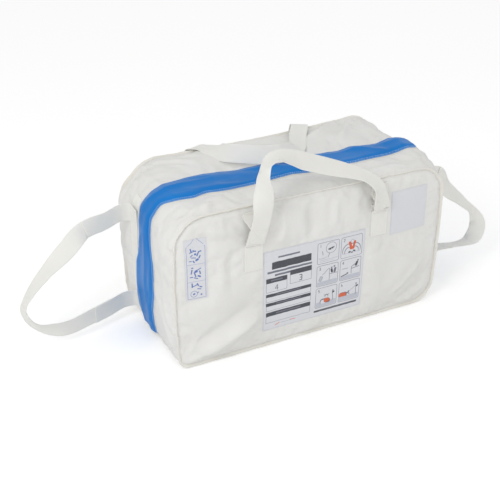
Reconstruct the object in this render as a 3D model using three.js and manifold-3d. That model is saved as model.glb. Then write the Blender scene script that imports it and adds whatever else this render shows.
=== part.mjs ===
// Liferaft valise: a packed soft bag with a closure flap, bound seams, webbing handles and sewn labels.
// Millimetres, +Z up. The origin is the middle of the flat base, and the front panel faces -Y.
import * as THREE from 'three';
import { mergeVertices } from 'three/addons/utils/BufferGeometryUtils.js';
import Module from 'manifold-3d';

const wasm = await Module();
wasm.setup();

// Packed bag
const BAG_LENGTH = 750;
const BAG_DEPTH = 370;
const BAG_HEIGHT = 405;
const TOP_CORNER_RADIUS = 78;
const LEFT_FOOT_RADIUS = 30;
const RIGHT_FOOT_RADIUS = 62;
const EDGE_RADIUS = 14;
const END_BULGE = 12;
const TOP_CROWN = 8;
const PANEL_CROWN = 14;
const REAR_CORNER_LIFT = 13;
const RIGHT_CORNER_FILL = 31;
const LEFT_CORNER_SLUMP = 15;
const FACET = 38;

// Closure flap, over the top and down both ends
const FLAP_WIDTH = 112;
const FLAP_THICKNESS = 1.6;
const FLAP_SLACK = 5;
const FLAP_FOOT = 8;

// Bias binding round the front and back panels
const BINDING_WIDTH = 9;
const BINDING_THICKNESS = 3.5;
const BINDING_PUCKER = 1.4;
const PUCKER_PITCH = 42;

// Webbing
const WEBBING_WIDTH = 48;
const WEBBING_THICKNESS = 2;
const STRIP_WIDTH = 48;
const FACET_ALONG = 13;
const FACET_TURN = 0.5;

// Front and rear handles
const HANDLE_SPACING = 354;
const HANDLE_OFFSET = -4;
const HANDLE_RISE = 208;
const PATCH_LENGTH = 70;
const PATCH_DROP = 166;
const RIGHT_ANCHOR_RAISE = 14;
const TAB_HEAD_DROP = 14;
const TAB_FRONT_LEG = 42;
const TAB_BEND_RADIUS = 4;

// Side handles
const UPPER_TAB_DROP = 90;
const LOWER_TAB_HEIGHT = 63;
const SIDE_TAB_LENGTH = 178;
const SIDE_OVERLAP = 58;
const TAB_FLAT_LENGTH = 42;
const SIDE_BEND_RADIUS = 14;
const LEFT_LOOP_REACH = 312;
const RIGHT_LOOP_REACH = 243;

// Sewn labels
const LABEL_THICKNESS = 0.8;
const MAIN_LABEL_WIDTH = 289;
const MAIN_LABEL_HEIGHT = 227;
const MAIN_LABEL_CENTRE = -10;
const MAIN_LABEL_FOOT = 53;
const SIDE_LABEL_WIDTH = 54;
const SIDE_LABEL_HEIGHT = 160;
const SIDE_LABEL_INSET = 22;
const SIDE_LABEL_FOOT = 194;
const CORNER_PATCH_WIDTH = 112;
const CORNER_PATCH_HEIGHT = 118;
const CORNER_PATCH_GAP = 14;
const CORNER_PATCH_DROP = 44;

// Clearance between sewn layers
const SEAM_GAP = 0.35;

const LEFT = -1;
const RIGHT = 1;
const FRONT = -1;
const REAR = 1;

const vec = (x, y, z) => new THREE.Vector3(x, y, z);
const smooth = THREE.MathUtils.smoothstep;
const lerp = THREE.MathUtils.lerp;

// Soft folds: the face they lie on, both ends on that face, the height and the half width
const FOLDS = [
  { face: 'front', from: [-342, 14], to: [-150, 108], height: 7, spread: 17 },
  { face: 'front', from: [-338, 52], to: [-160, 158], height: -5, spread: 24 },
  { face: 'front', from: [-318, 372], to: [-250, 300], height: 5, spread: 16 },
  { face: 'front', from: [-120, 372], to: [-104, 290], height: 5, spread: 18 },
  { face: 'front', from: [-20, 380], to: [0, 292], height: -5, spread: 22 },
  { face: 'front', from: [170, 40], to: [300, 190], height: 5, spread: 20 },
  { face: 'front', from: [250, 20], to: [345, 110], height: -5, spread: 20 },
  { face: 'back', from: [-300, 40], to: [-170, 190], height: 6, spread: 22 },
  { face: 'back', from: [120, 300], to: [310, 350], height: 6, spread: 22 },
  { face: 'back', from: [-80, 60], to: [90, 120], height: -5, spread: 28 },
  { face: 'top', from: [-300, -150], to: [-170, -96], height: 5, spread: 17 },
  { face: 'top', from: [-290, 150], to: [-180, 60], height: 5, spread: 18 },
  { face: 'top', from: [-60, -150], to: [60, -110], height: 5, spread: 16 },
  { face: 'top', from: [150, 150], to: [260, 70], height: 6, spread: 20 },
  { face: 'top', from: [90, -150], to: [250, -105], height: -4, spread: 18 },
  { face: 'left', from: [-150, 350], to: [-96, 250], height: 6, spread: 17 },
  { face: 'left', from: [-158, 70], to: [-80, 200], height: 6, spread: 17 },
  { face: 'left', from: [130, 340], to: [110, 90], height: 6, spread: 12 },
  { face: 'right', from: [150, 350], to: [96, 250], height: 6, spread: 17 },
  { face: 'right', from: [158, 70], to: [100, 200], height: 6, spread: 17 },
  { face: 'right', from: [-150, 330], to: [-110, 90], height: 6, spread: 14 },
];

// Fold positions above are set out on this bag, and follow it when the bag changes size
const FOLD_BAG = { length: 750, depth: 370, height: 405 };

function faceOf(x, y, z) {
  const near = (a, b) => Math.abs(a - b) < 1e-6;
  if (near(y, -BAG_DEPTH / 2)) return { face: 'front', place: [x, z], out: vec(0, -1, 0) };
  if (near(y, BAG_DEPTH / 2)) return { face: 'back', place: [x, z], out: vec(0, 1, 0) };
  if (near(z, BAG_HEIGHT)) return { face: 'top', place: [x, y], out: vec(0, 0, 1) };
  if (near(x, -BAG_LENGTH / 2)) return { face: 'left', place: [y, z], out: vec(-1, 0, 0) };
  if (near(x, BAG_LENGTH / 2)) return { face: 'right', place: [y, z], out: vec(1, 0, 0) };
  return null;
}

function foldHeight(x, y, z) {
  const spot = faceOf(x, y, z);
  if (!spot) return vec(0, 0, 0);
  const u = spot.place[0] * (spot.face === 'left' || spot.face === 'right'
    ? FOLD_BAG.depth / BAG_DEPTH : FOLD_BAG.length / BAG_LENGTH);
  const v = spot.place[1] * (spot.face === 'top'
    ? FOLD_BAG.depth / BAG_DEPTH : FOLD_BAG.height / BAG_HEIGHT);
  let height = 0;
  for (const fold of FOLDS) {
    if (fold.face !== spot.face) continue;
    const [ax, ay] = fold.from;
    const dx = fold.to[0] - ax;
    const dy = fold.to[1] - ay;
    const along = ((u - ax) * dx + (v - ay) * dy) / (dx * dx + dy * dy);
    const aside = ((u - ax) * dy - (v - ay) * dx) / Math.hypot(dx, dy);
    const reach = smooth(along, -0.15, 0.25) * (1 - smooth(along, 0.7, 1.15));
    height += fold.height * reach * Math.exp(-((aside / fold.spread) ** 2));
  }
  const edge = Math.min(
    BAG_LENGTH / 2 - Math.abs(x) + (spot.out.x ? BAG_LENGTH : 0),
    BAG_DEPTH / 2 - Math.abs(y) + (spot.out.y ? BAG_DEPTH : 0),
    Math.min(z, BAG_HEIGHT - z) + (spot.out.z ? BAG_HEIGHT : 0),
  );
  return spot.out.multiplyScalar(height * smooth(edge, 0, EDGE_RADIUS * 2));
}

// Pulls the corner of a square onto the arc that fits inside it
function roundOff(a, b) {
  if (a <= 0 || b <= 0) return [a, b];
  const scale = Math.max(a, b) / Math.hypot(a, b);
  return [a * scale, b * scale];
}

function cornerRadius(x, z) {
  if (z > BAG_HEIGHT / 2) return TOP_CORNER_RADIUS;
  return x < 0 ? LEFT_FOOT_RADIUS : RIGHT_FOOT_RADIUS;
}

// Distance inside the rounded outline of the bag seen from the front, and the way out of it
function outlineDistance(x, z) {
  const high = z > BAG_HEIGHT / 2;
  const radius = cornerRadius(x, z);
  const side = Math.sign(x) || 1;
  const up = high ? 1 : -1;
  const dx = Math.abs(x) - (BAG_LENGTH / 2 - radius);
  const dz = (high ? z - (BAG_HEIGHT - radius) : radius - z);
  if (dx > 0 && dz > 0) {
    const reach = Math.hypot(dx, dz);
    return { inside: radius - reach, out: vec(side * dx / reach, 0, up * dz / reach) };
  }
  const inside = radius - Math.max(dx, dz);
  return { inside, out: dx > dz ? vec(side, 0, 0) : vec(0, 0, up) };
}

// Carries a point of the plain box onto the surface of the packed bag
function bagPoint(x, y, z) {
  const high = z > BAG_HEIGHT / 2;
  const radius = cornerRadius(x, z);
  const coreX = BAG_LENGTH / 2 - radius;
  const coreZ = high ? BAG_HEIGHT - radius : radius;
  const [cx, cz] = roundOff(Math.abs(x) - coreX, high ? z - coreZ : coreZ - z);
  const p = vec(Math.sign(x) * (coreX + cx), y, high ? coreZ + cz : coreZ - cz);
  const across = (2 * y) / BAG_DEPTH;

  const { inside, out } = outlineDistance(p.x, p.z);
  const behind = BAG_DEPTH / 2 - Math.abs(y);
  if (inside < EDGE_RADIUS && behind < EDGE_RADIUS) {
    const [a, b] = roundOff(EDGE_RADIUS - inside, EDGE_RADIUS - behind);
    p.addScaledVector(out, a - (EDGE_RADIUS - inside));
    p.y = Math.sign(y) * (BAG_DEPTH / 2 - EDGE_RADIUS + b);
  }

  if (high && cx > 0 && cz > 0) {
    const corner = (2 * cx * cz) / radius ** 2;
    const full = RIGHT_CORNER_FILL * smooth(across, -1, -0.6) * lerp(1, 0.6, smooth(across, -0.4, 0.4));
    const slack = -LEFT_CORNER_SLUMP * smooth(across, 0.1, 1);
    p.addScaledVector(vec(Math.sign(x), 0, 1).normalize(), corner * (x > 0 ? full : slack));
  }

  const along = (2 * x) / BAG_LENGTH;
  const upward = z / BAG_HEIGHT;
  const middle = Math.sin(Math.PI * upward);
  p.x += END_BULGE * along ** 3 * middle * (1 - 0.6 * across ** 2);
  p.z += TOP_CROWN * upward ** 4 * (1 - along ** 2) * (1 - across ** 2);
  p.y += PANEL_CROWN * across ** 3 * (1 - along ** 4) * (1 - (2 * upward - 1) ** 4);
  p.z += REAR_CORNER_LIFT * smooth(along, 0, 0.9) * smooth(across, -0.6, 1) * smooth(upward, 0.5, 1);
  return p.add(foldHeight(x, y, z));
}

// Grid lines across one side of the bag, close together where the edges turn
function gridLines(length) {
  const even = Math.max(2, Math.round((length - 2 * EDGE_RADIUS) / FACET));
  const lines = [0, EDGE_RADIUS * 0.4];
  for (let i = 0; i <= even; i += 1) lines.push(lerp(EDGE_RADIUS, length - EDGE_RADIUS, i / even));
  lines.push(length - EDGE_RADIUS * 0.4, length);
  return lines;
}

const linesX = gridLines(BAG_LENGTH).map((x) => x - BAG_LENGTH / 2);
const linesY = gridLines(BAG_DEPTH).map((y) => y - BAG_DEPTH / 2);
const linesZ = gridLines(BAG_HEIGHT);

function weld(geometry) {
  geometry.deleteAttribute('normal');
  geometry.deleteAttribute('uv');
  return mergeVertices(geometry, 1e-5);
}

function bagGeometry(grow = 0) {
  const [nx, ny, nz] = [linesX.length - 1, linesY.length - 1, linesZ.length - 1];
  const geometry = weld(new THREE.BoxGeometry(1, 1, 1, nx, ny, nz));
  const position = geometry.getAttribute('position');
  for (let i = 0; i < position.count; i += 1) {
    const x = linesX[Math.round((position.getX(i) + 0.5) * nx)];
    const y = linesY[Math.round((position.getY(i) + 0.5) * ny)];
    const z = linesZ[Math.round((position.getZ(i) + 0.5) * nz)];
    position.setXYZ(i, ...bagPoint(x, y, z));
  }
  if (grow) {
    geometry.computeVertexNormals();
    const normal = geometry.getAttribute('normal');
    for (let i = 0; i < position.count; i += 1) {
      const moved = vec().fromBufferAttribute(position, i)
        .addScaledVector(vec().fromBufferAttribute(normal, i), grow);
      position.setXYZ(i, ...moved);
    }
    geometry.deleteAttribute('normal');
  }
  return geometry;
}

// Between three.js meshes and solids for cutting
function solid(geometry) {
  const vertProperties = Float32Array.from(geometry.getAttribute('position').array);
  const triVerts = Uint32Array.from(geometry.getIndex().array);
  return new wasm.Manifold(new wasm.Mesh({ numProp: 3, vertProperties, triVerts }));
}

function geometryOf(manifold) {
  const pieces = manifold.decompose().sort((a, b) => b.volume() - a.volume());
  const mesh = pieces[0].getMesh();
  const geometry = new THREE.BufferGeometry();
  geometry.setAttribute('position', new THREE.Float32BufferAttribute(mesh.vertProperties, 3));
  geometry.setIndex([...mesh.triVerts]);
  return geometry;
}

// Joins a row of like sections into one closed body, as a ring or with flat ends. Both broad faces of a
// thin section are split along the same diagonal, so that they stay apart where it twists
function loft(sections, { ring = false, thin = false } = {}) {
  const sides = sections[0].length;
  const points = sections.flat();
  const index = [];
  const last = ring ? sections.length : sections.length - 1;
  for (let i = 0; i < last; i += 1) {
    const here = i * sides;
    const next = ((i + 1) % sections.length) * sides;
    for (let j = 0; j < sides; j += 1) {
      const k = (j + 1) % sides;
      if (thin && 2 * j >= sides) {
        index.push(here + j, here + k, next + j, here + k, next + k, next + j);
      } else {
        index.push(here + j, here + k, next + k, here + j, next + k, next + j);
      }
    }
  }
  if (!ring) {
    const end = (sections.length - 1) * sides;
    for (let j = 1; j < sides - 1; j += 1) {
      index.push(0, j + 1, j, end, end + j, end + j + 1);
    }
  }
  const geometry = new THREE.BufferGeometry();
  geometry.setAttribute('position', new THREE.Float32BufferAttribute(points.flatMap((p) => [...p]), 3));
  geometry.setIndex(index);
  return enclosedVolume(points, index) < 0 ? turnedOut(geometry) : geometry;
}

function enclosedVolume(points, index) {
  let volume = 0;
  for (let i = 0; i < index.length; i += 3) {
    const [a, b, c] = [points[index[i]], points[index[i + 1]], points[index[i + 2]]];
    volume += a.dot(b.clone().cross(c));
  }
  return volume;
}

function turnedOut(geometry) {
  const index = [...geometry.getIndex().array];
  for (let i = 0; i < index.length; i += 3) [index[i], index[i + 1]] = [index[i + 1], index[i]];
  geometry.setIndex(index);
  return geometry;
}

const bag = solid(bagGeometry());
const bagWithGap = solid(bagGeometry(SEAM_GAP));
const strippedBag = solid(bagGeometry(SEAM_GAP + WEBBING_THICKNESS + SEAM_GAP));

// Closure flap, from the left foot over the top to the right foot: share of the way, how far its middle
// was pulled off the middle of the bag, and its gathered width as a share of the full width
const FLAP_LINE = [
  [0, 18, 1.02], [0.045, 22, 1.12], [0.117, -5, 1.23], [0.157, -21, 0.95], [0.192, -15, 0.76],
  [0.223, -8, 0.79], [0.262, -12, 0.75], [0.277, -17, 0.8], [0.29, -31, 0.95], [0.312, -41, 1.04],
  [0.344, -34, 0.98], [0.372, -42, 1.08], [0.418, -49, 0.88], [0.452, -45, 0.88], [0.48, -41, 0.81],
  [0.515, -47, 0.89], [0.566, -45, 0.86], [0.6, -49, 0.74], [0.635, -40, 0.84], [0.673, -45, 0.7],
  [0.71, -38, 0.76], [0.74, -28, 0.8], [0.77, -20, 0.86], [0.8, -13, 0.92], [0.9, -9, 0.98], [1, -8, 1],
];

function flapStations() {
  const up = linesZ.filter((z) => z > EDGE_RADIUS && z < BAG_HEIGHT);
  const left = up.map((z) => [-BAG_LENGTH / 2, z]);
  const right = up.map((z) => [BAG_LENGTH / 2, z]).reverse();
  const top = linesX.map((x) => [x, BAG_HEIGHT]);
  return [[-BAG_LENGTH / 2, FLAP_FOOT], ...left, ...top, ...right, [BAG_LENGTH / 2, FLAP_FOOT]];
}

// Middle and width of the flap at one of its stations
function flapReach([x, z]) {
  const whole = BAG_LENGTH + 2 * BAG_HEIGHT;
  const height = Math.min(z, BAG_HEIGHT);
  const way = x < 0 && z < BAG_HEIGHT ? height : BAG_HEIGHT + BAG_LENGTH / 2 + x;
  const share = (z < BAG_HEIGHT && x > 0 ? whole - height : way) / whole;
  const i = Math.max(1, FLAP_LINE.findIndex((stop) => stop[0] >= share - 1e-9));
  const [a, b] = [FLAP_LINE[i - 1], FLAP_LINE[i]];
  const part = smooth(share, a[0], b[0]);
  return { share, middle: lerp(a[1], b[1], part), width: FLAP_WIDTH * lerp(a[2], b[2], part) };
}

function flapSolid(gap = 0, raise = 0) {
  const stations = flapStations();
  const lines = 6;
  const sunk = 6;
  const sections = stations.map(([x, z], i) => {
    const { share, middle, width } = flapReach([x, z]);
    const onTop = Math.sin(Math.PI * share) ** 2;
    const front = middle - width / 2 - gap;
    const rear = middle + width / 2 + gap;
    const before = stations[Math.max(i - 1, 0)];
    const after = stations[Math.min(i + 1, stations.length - 1)];
    const tangent = bagPoint(after[0], 0, after[1]).sub(bagPoint(before[0], 0, before[1]));
    const out = tangent.cross(vec(0, 1, 0)).normalize().negate();
    const outer = [];
    for (let j = 0; j <= lines; j += 1) {
      const t = j / lines;
      const slack = 0.5 + 0.5 * Math.sin(2 * Math.PI * (1.6 * t + 0.11 * i));
      const fold = FLAP_SLACK * slack * Math.sin(Math.PI * t) * lerp(0.5, 1, onTop);
      const lift = SEAM_GAP + FLAP_THICKNESS + fold + raise;
      outer.push(bagPoint(x, lerp(front, rear, t), z).addScaledVector(out, lift));
    }
    const inner = [rear, front].map((y) => bagPoint(x, y, z).addScaledVector(out, -sunk));
    return [...outer, ...inner];
  });
  return solid(loft(sections));
}

// Bias binding: a tape folded over the seam, standing out from the edge of a panel
function bindingGeometry(side) {
  const corners = [
    ...linesX.map((x) => [x, BAG_HEIGHT]),
    ...linesZ.slice(1, -1).reverse().map((z) => [BAG_LENGTH / 2, z]),
    ...[...linesX].reverse().map((x) => [x, 0]),
    ...linesZ.slice(1, -1).map((z) => [-BAG_LENGTH / 2, z]),
  ];
  const edge = new THREE.CatmullRomCurve3(
    corners.map(([x, z]) => bagPoint(x, side * BAG_DEPTH / 2, z)),
    true,
  );
  const length = edge.getLength();
  const steps = Math.round(length / (PUCKER_PITCH / 3));
  const sections = [];
  for (let i = 0; i < steps; i += 1) {
    const point = edge.getPointAt(i / steps);
    const tangent = edge.getTangentAt(i / steps);
    const aside = tangent.clone().cross(vec(0, 1, 0)).normalize();
    if (aside.dot(vec(point.x, 0, point.z - BAG_HEIGHT / 2)) < 0) aside.negate();
    const out = aside.clone().add(vec(0, side, 0)).normalize();
    const across = out.clone().cross(tangent).normalize();
    const wave = Math.sin((2 * Math.PI * length / PUCKER_PITCH) * (i / steps)) + 0.6 * Math.sin(i * 0.83);
    const tip = point.clone().addScaledVector(out, 2 * SEAM_GAP + BINDING_WIDTH)
      .addScaledVector(across, BINDING_PUCKER * wave);
    const root = point.clone().addScaledVector(out, 2 * SEAM_GAP);
    const waist = root.clone().lerp(tip, 0.55);
    const section = [
      root,
      waist.clone().addScaledVector(across, BINDING_THICKNESS / 2),
      tip,
      waist.clone().addScaledVector(across, -BINDING_THICKNESS / 2),
    ];
    const floor = [SEAM_GAP * 4, SEAM_GAP * 3, SEAM_GAP, SEAM_GAP * 2];
    sections.push(section.map((p, j) => vec(p.x, p.y, Math.max(p.z, floor[j]))));
  }
  return loft(sections, { ring: true });
}

// A route is a smooth line with a width direction at each place, measured by length along it
class Route {
  constructor(rows) {
    this.line = new THREE.CatmullRomCurve3(rows.map((row) => row.centre), false, 'centripetal');
    this.turn = new THREE.CatmullRomCurve3(rows.map((row) => row.across), false, 'centripetal');
    this.rows = rows.length;
    this.marks = [{ t: 0, length: 0 }];
    const fine = 40 * (rows.length - 1);
    let before = this.line.getPoint(0);
    for (let i = 1; i <= fine; i += 1) {
      const point = this.line.getPoint(i / fine);
      this.marks.push({ t: i / fine, length: this.marks[i - 1].length + point.distanceTo(before) });
      before = point;
    }
    this.length = this.marks[fine].length;
    this.facets = this.facetEnds();
  }

  // Facets end at even steps along the route, and sooner where it turns sharply
  facetEnds() {
    const ends = [0];
    let last = this.at(0);
    for (let length = 1; length < this.length; length += 1) {
      const here = this.at(length);
      const turn = Math.max(here.tangent.angleTo(last.tangent), here.across.angleTo(last.across));
      const step = length - ends[ends.length - 1];
      if (step >= FACET_ALONG || (turn > FACET_TURN && step > WEBBING_THICKNESS)) {
        ends.push(length);
        last = here;
      }
    }
    return ends;
  }

  at(length) {
    const wanted = THREE.MathUtils.clamp(length, 0, this.length);
    const i = Math.max(1, this.marks.findIndex((mark) => mark.length >= wanted - 1e-9));
    const [a, b] = [this.marks[i - 1], this.marks[i]];
    const t = lerp(a.t, b.t, (wanted - a.length) / (b.length - a.length || 1));
    const tangent = this.line.getTangent(t);
    const across = this.widthDirection(t);
    across.addScaledVector(tangent, -across.dot(tangent)).normalize();
    return { centre: this.line.getPoint(t), tangent, across, out: tangent.clone().cross(across) };
  }

  // Width directions turn evenly between the rows
  widthDirection(t) {
    const place = t * (this.rows - 1);
    const i = Math.min(Math.floor(place), this.rows - 2);
    const [a, b] = [this.turn.points[i], this.turn.points[i + 1]];
    return a.clone().lerp(b, place - i).normalize();
  }
}

// Webbing along part of a route, lifted off it towards its outer face. Layers on one route share their
// facets, so that they stay apart where the webbing twists
function webbing(route, from, to, lift = 0, room = 0) {
  const between = route.facets.filter((length) => length > from && length < to - 1);
  const sections = [];
  for (const place of [from, ...between, to]) {
    const { centre, across, out } = route.at(place);
    const corner = (w, h) => centre.clone()
      .addScaledVector(across, w * (WEBBING_WIDTH / 2 + room))
      .addScaledVector(out, lift + h * (WEBBING_THICKNESS / 2 + room));
    sections.push([corner(-1, -1), corner(1, -1), corner(1, 1), corner(-1, 1)]);
  }
  return loft(sections, { thin: true });
}

const row = (x, y, z, wx, wy, wz) => ({ centre: vec(x, y, z), across: vec(wx, wy, wz) });

// Places shared by the front and rear handles
const patchFoot = (end) => BAG_HEIGHT - PATCH_DROP + (end === RIGHT ? RIGHT_ANCHOR_RAISE : 0);
const bendFoot = (end) => patchFoot(end) + PATCH_LENGTH + 2 * SEAM_GAP;
const bendTop = (end) => bendFoot(end) + TAB_BEND_RADIUS + WEBBING_THICKNESS / 2;
const legX = (end) => HANDLE_OFFSET + end * HANDLE_SPACING / 2;

function panelPlace(side, x, z, lift) {
  const point = bagPoint(x, side * BAG_DEPTH / 2, z);
  return point.addScaledVector(vec(0, side, 0), lift);
}

// A tab lies up the panel, bends round at its foot and comes back up to the handle. Its front leg leans
// out of the panel and in towards the middle of the handle, by these shares of its length
const LEG_LEAN = new Map([[FRONT, 0.2], [REAR, 0]]);
const LEG_SLANT = new Map([[LEFT, 0.17], [RIGHT, 0.28]]);
const LEG_TURN = new Map([[LEFT, 0], [RIGHT, 0.36]]);
const flatLift = SEAM_GAP + WEBBING_THICKNESS / 2;
const frontLegLift = flatLift + 2 * TAB_BEND_RADIUS;

// Place on the front leg of a tab, or on a layer of webbing in front of it
function frontLeg(side, end, up, layer = 0) {
  const foot = panelPlace(side, legX(end), bendTop(end), frontLegLift + layer);
  foot.x -= end * LEG_SLANT.get(end) * up;
  foot.y += side * LEG_LEAN.get(side) * up;
  foot.z = bendTop(end) + up;
  return foot;
}

// Way across the webbing on the front leg of a tab, turned a little where the handle pulls it round
function legWay(side, end, up) {
  return [1, -side * LEG_TURN.get(end) * (up / TAB_FRONT_LEG), 0];
}

function tabRoute(side, end) {
  const x = legX(end);
  const turn = [1, 0, 0];
  const head = BAG_HEIGHT - TAB_HEAD_DROP;
  const flat = [head, lerp(head, bendTop(end), 0.5), bendTop(end) + TAB_BEND_RADIUS].map((z) => {
    const spot = panelPlace(side, x, z, flatLift);
    return row(...spot, ...turn);
  });
  const bend = [0, 1, 2, 3].map((eighth) => {
    const angle = (eighth * Math.PI) / 4;
    const spot = panelPlace(side, x, bendTop(end), flatLift + TAB_BEND_RADIUS * (1 - Math.cos(angle)));
    return row(spot.x, spot.y, bendTop(end) - TAB_BEND_RADIUS * Math.sin(angle), ...turn);
  });
  const leg = [0, TAB_FRONT_LEG].map((up) => row(...frontLeg(side, end, up), ...legWay(side, end, up)));
  return new Route([...flat, ...bend, ...leg]);
}

// Shape of the front handle between its tabs: share of the half spacing, shares of the rise upwards and
// in front of the panel's edge, and the way across the webbing
const FRONT_DRAPE = [
  [-0.935, 0.42, 0.1827, [-0.98, 0, 0.2]],
  [-0.931, 0.53, 0.1875, [-0.93, 0.3, 0.15]],
  [-0.93, 0.715, 0.2019, [-0.5, 0.86, 0.03]],
  [-0.937, 0.835, 0.2019, [-0.2, 0.98, -0.05]],
  [-0.922, 0.91, 0.1923, [-0.05, 0.96, -0.29]],
  [-0.881, 0.963, 0.1587, [-0.13, 0.87, -0.4]],
  [-0.81, 0.995, 0.1298, [-0.25, 0.9, -0.25]],
  [-0.7, 1.01, 0.0817, [-0.25, 0.95, 0.1]],
  [-0.518, 0.98, 0.0433, [0, 0.86, 0.5]],
  [-0.247, 0.878, 0.0048, [0.26, 0.64, 0.73]],
  [0.161, 0.738, -0.0048, [0.27, 0.7, 0.66]],
  [0.467, 0.646, 0.024, [0.34, 0.83, 0.45]],
  [0.685, 0.575, 0.0817, [0.46, 0.85, 0.27]],
  [0.811, 0.5, 0.1346, [0.62, 0.73, 0.32]],
  [0.889, 0.416, 0.1538, [0.78, 0.53, 0.3]],
];

function frontHandleRoute() {
  const layer = WEBBING_THICKNESS + SEAM_GAP;
  const leg = (end) => [0, TAB_FRONT_LEG].map((up) => row(
    ...frontLeg(FRONT, end, up, layer),
    ...legWay(FRONT, end, up).map((part) => part * end),
  ));
  const over = FRONT_DRAPE.map(([across, rise, ahead, turn]) => row(
    HANDLE_OFFSET + across * HANDLE_SPACING / 2,
    -BAG_DEPTH / 2 - ahead * HANDLE_RISE,
    bendFoot(LEFT) + rise * HANDLE_RISE,
    ...turn,
  ));
  return new Route([...leg(LEFT), ...over, ...leg(RIGHT).reverse()]);
}

// Shape of the rear handle, flopped forward on to the top: share of the half spacing, shares of the rise
// above the top of the bag and behind its rear edge, and the way across the webbing
const REAR_DRAPE = [
  [-0.9, 0, 0.0817, [0.95, 0.3, 0]],
  [-0.79, 0.0481, -0.0625, [0.7, 0.7, -0.1]],
  [-0.75, 0.0962, -0.3365, [0.5, 0.82, 0.15]],
  [-0.72, 0.1827, -0.6779, [0.3, 0.48, 0.82]],
  [-0.56, 0.2067, -0.8462, [0.28, 0.32, 0.9]],
  [-0.36, 0.2019, -0.9519, [0.3, 0.25, 0.92]],
  [-0.06, 0.1971, -1.0048, [0, 0.5, 0.87]],
  [0.23, 0.1683, -0.8894, [-0.4, 0.6, 0.7]],
  [0.42, 0.1202, -0.6779, [-0.75, 0.6, 0.3]],
  [0.65, 0.0913, -0.3365, [-0.8, 0.6, 0.1]],
  [0.86, 0.1154, -0.0625, [-0.75, 0.65, 0]],
  [0.93, 0.0385, 0.0913, [-0.95, 0.3, 0]],
];

function rearHandleRoute() {
  const layer = WEBBING_THICKNESS + SEAM_GAP;
  const leg = (end) => [0, TAB_FRONT_LEG].map((up) => row(
    ...frontLeg(REAR, end, up, layer),
    ...legWay(REAR, end, up).map((part) => -part * end),
  ));
  const over = REAR_DRAPE.map(([across, rise, behind, turn]) => row(
    HANDLE_OFFSET + across * HANDLE_SPACING / 2,
    BAG_DEPTH / 2 + behind * HANDLE_RISE,
    BAG_HEIGHT + rise * HANDLE_RISE,
    ...turn,
  ));
  return new Route([...leg(LEFT), ...over, ...leg(RIGHT).reverse()]);
}

// Shape of each side handle: shares of its reach out from the end of the bag, of half the bag's depth
// behind the middle and of the height between the tabs, and the way across the webbing
const SIDE_DRAPE = {
  left: [
    [0.1154, 0.4973, 1.0, [0, 0, 1]],
    [0.2564, 0.4378, 0.965, [0, 0, 1]],
    [0.4391, 0.3676, 0.94, [-0.1, 0.1, 0.99]],
    [0.6026, 0.3243, 0.785, [-0.33, 0.66, 0.67]],
    [0.7788, 0.2919, 0.62, [-0.3, 0.95, 0.05]],
    [0.9327, 0.2486, 0.44, [-0.13, 0.98, -0.16]],
    [1, 0.227, 0.31, [-0.11, 0.9, -0.42]],
    [0.9936, 0.2162, 0.2, [-0.2, 0.9, -0.38]],
    [0.9327, 0.2108, 0.08, [-0.14, 0.75, -0.64]],
    [0.8333, 0.2054, 0.005, [0.2, 0.42, -0.88]],
    [0.6795, 0.227, -0.05, [0.15, 0.2, -0.96]],
    [0.4519, 0.3243, -0.035, [0.1, 0.08, -0.98]],
    [0.2981, 0.4162, -0.03, [0, 0, -1]],
    [0.1346, 0.4973, -0.005, [0, 0, -1]],
  ],
  right: [
    [0.1399, -0.3568, 1.01, [0, 0, 1]],
    [0.3416, -0.3568, 0.985, [0.2, 0.15, 0.95]],
    [0.4979, -0.3243, 0.785, [0.4, 0.35, 0.85]],
    [0.679, -0.2811, 0.645, [0.6, 0.65, 0.4]],
    [0.9095, -0.2595, 0.455, [0.6, 0.75, 0.15]],
    [0.9794, -0.3135, 0.36, [0.8, 0.3, 0.1]],
    [1, -0.3892, 0.27, [0.89, -0.4, 0]],
    [0.9506, -0.4541, 0.185, [0.8, -0.55, -0.05]],
    [0.8683, -0.4865, 0.115, [0.5, -0.82, 0.1]],
    [0.7901, -0.4757, 0.085, [0.15, -0.95, 0.18]],
    [0.6749, -0.4541, 0.075, [0.05, -0.96, 0.2]],
    [0.5226, -0.4324, 0.09, [0, -0.97, 0.2]],
    [0.3827, -0.4108, 0.1, [0, -0.97, 0.1]],
    [0.2551, -0.3892, 0.11, [0, -0.8, -0.5]],
    [0.1399, -0.3784, 0.12, [0, -0.2, -1]],
  ],
};

const upperTabHeight = BAG_HEIGHT - UPPER_TAB_DROP;
const endSign = { left: LEFT, right: RIGHT };
const loopReach = { left: LEFT_LOOP_REACH, right: RIGHT_LOOP_REACH };
const behindMiddle = (share) => (share * BAG_DEPTH) / 2;

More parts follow.
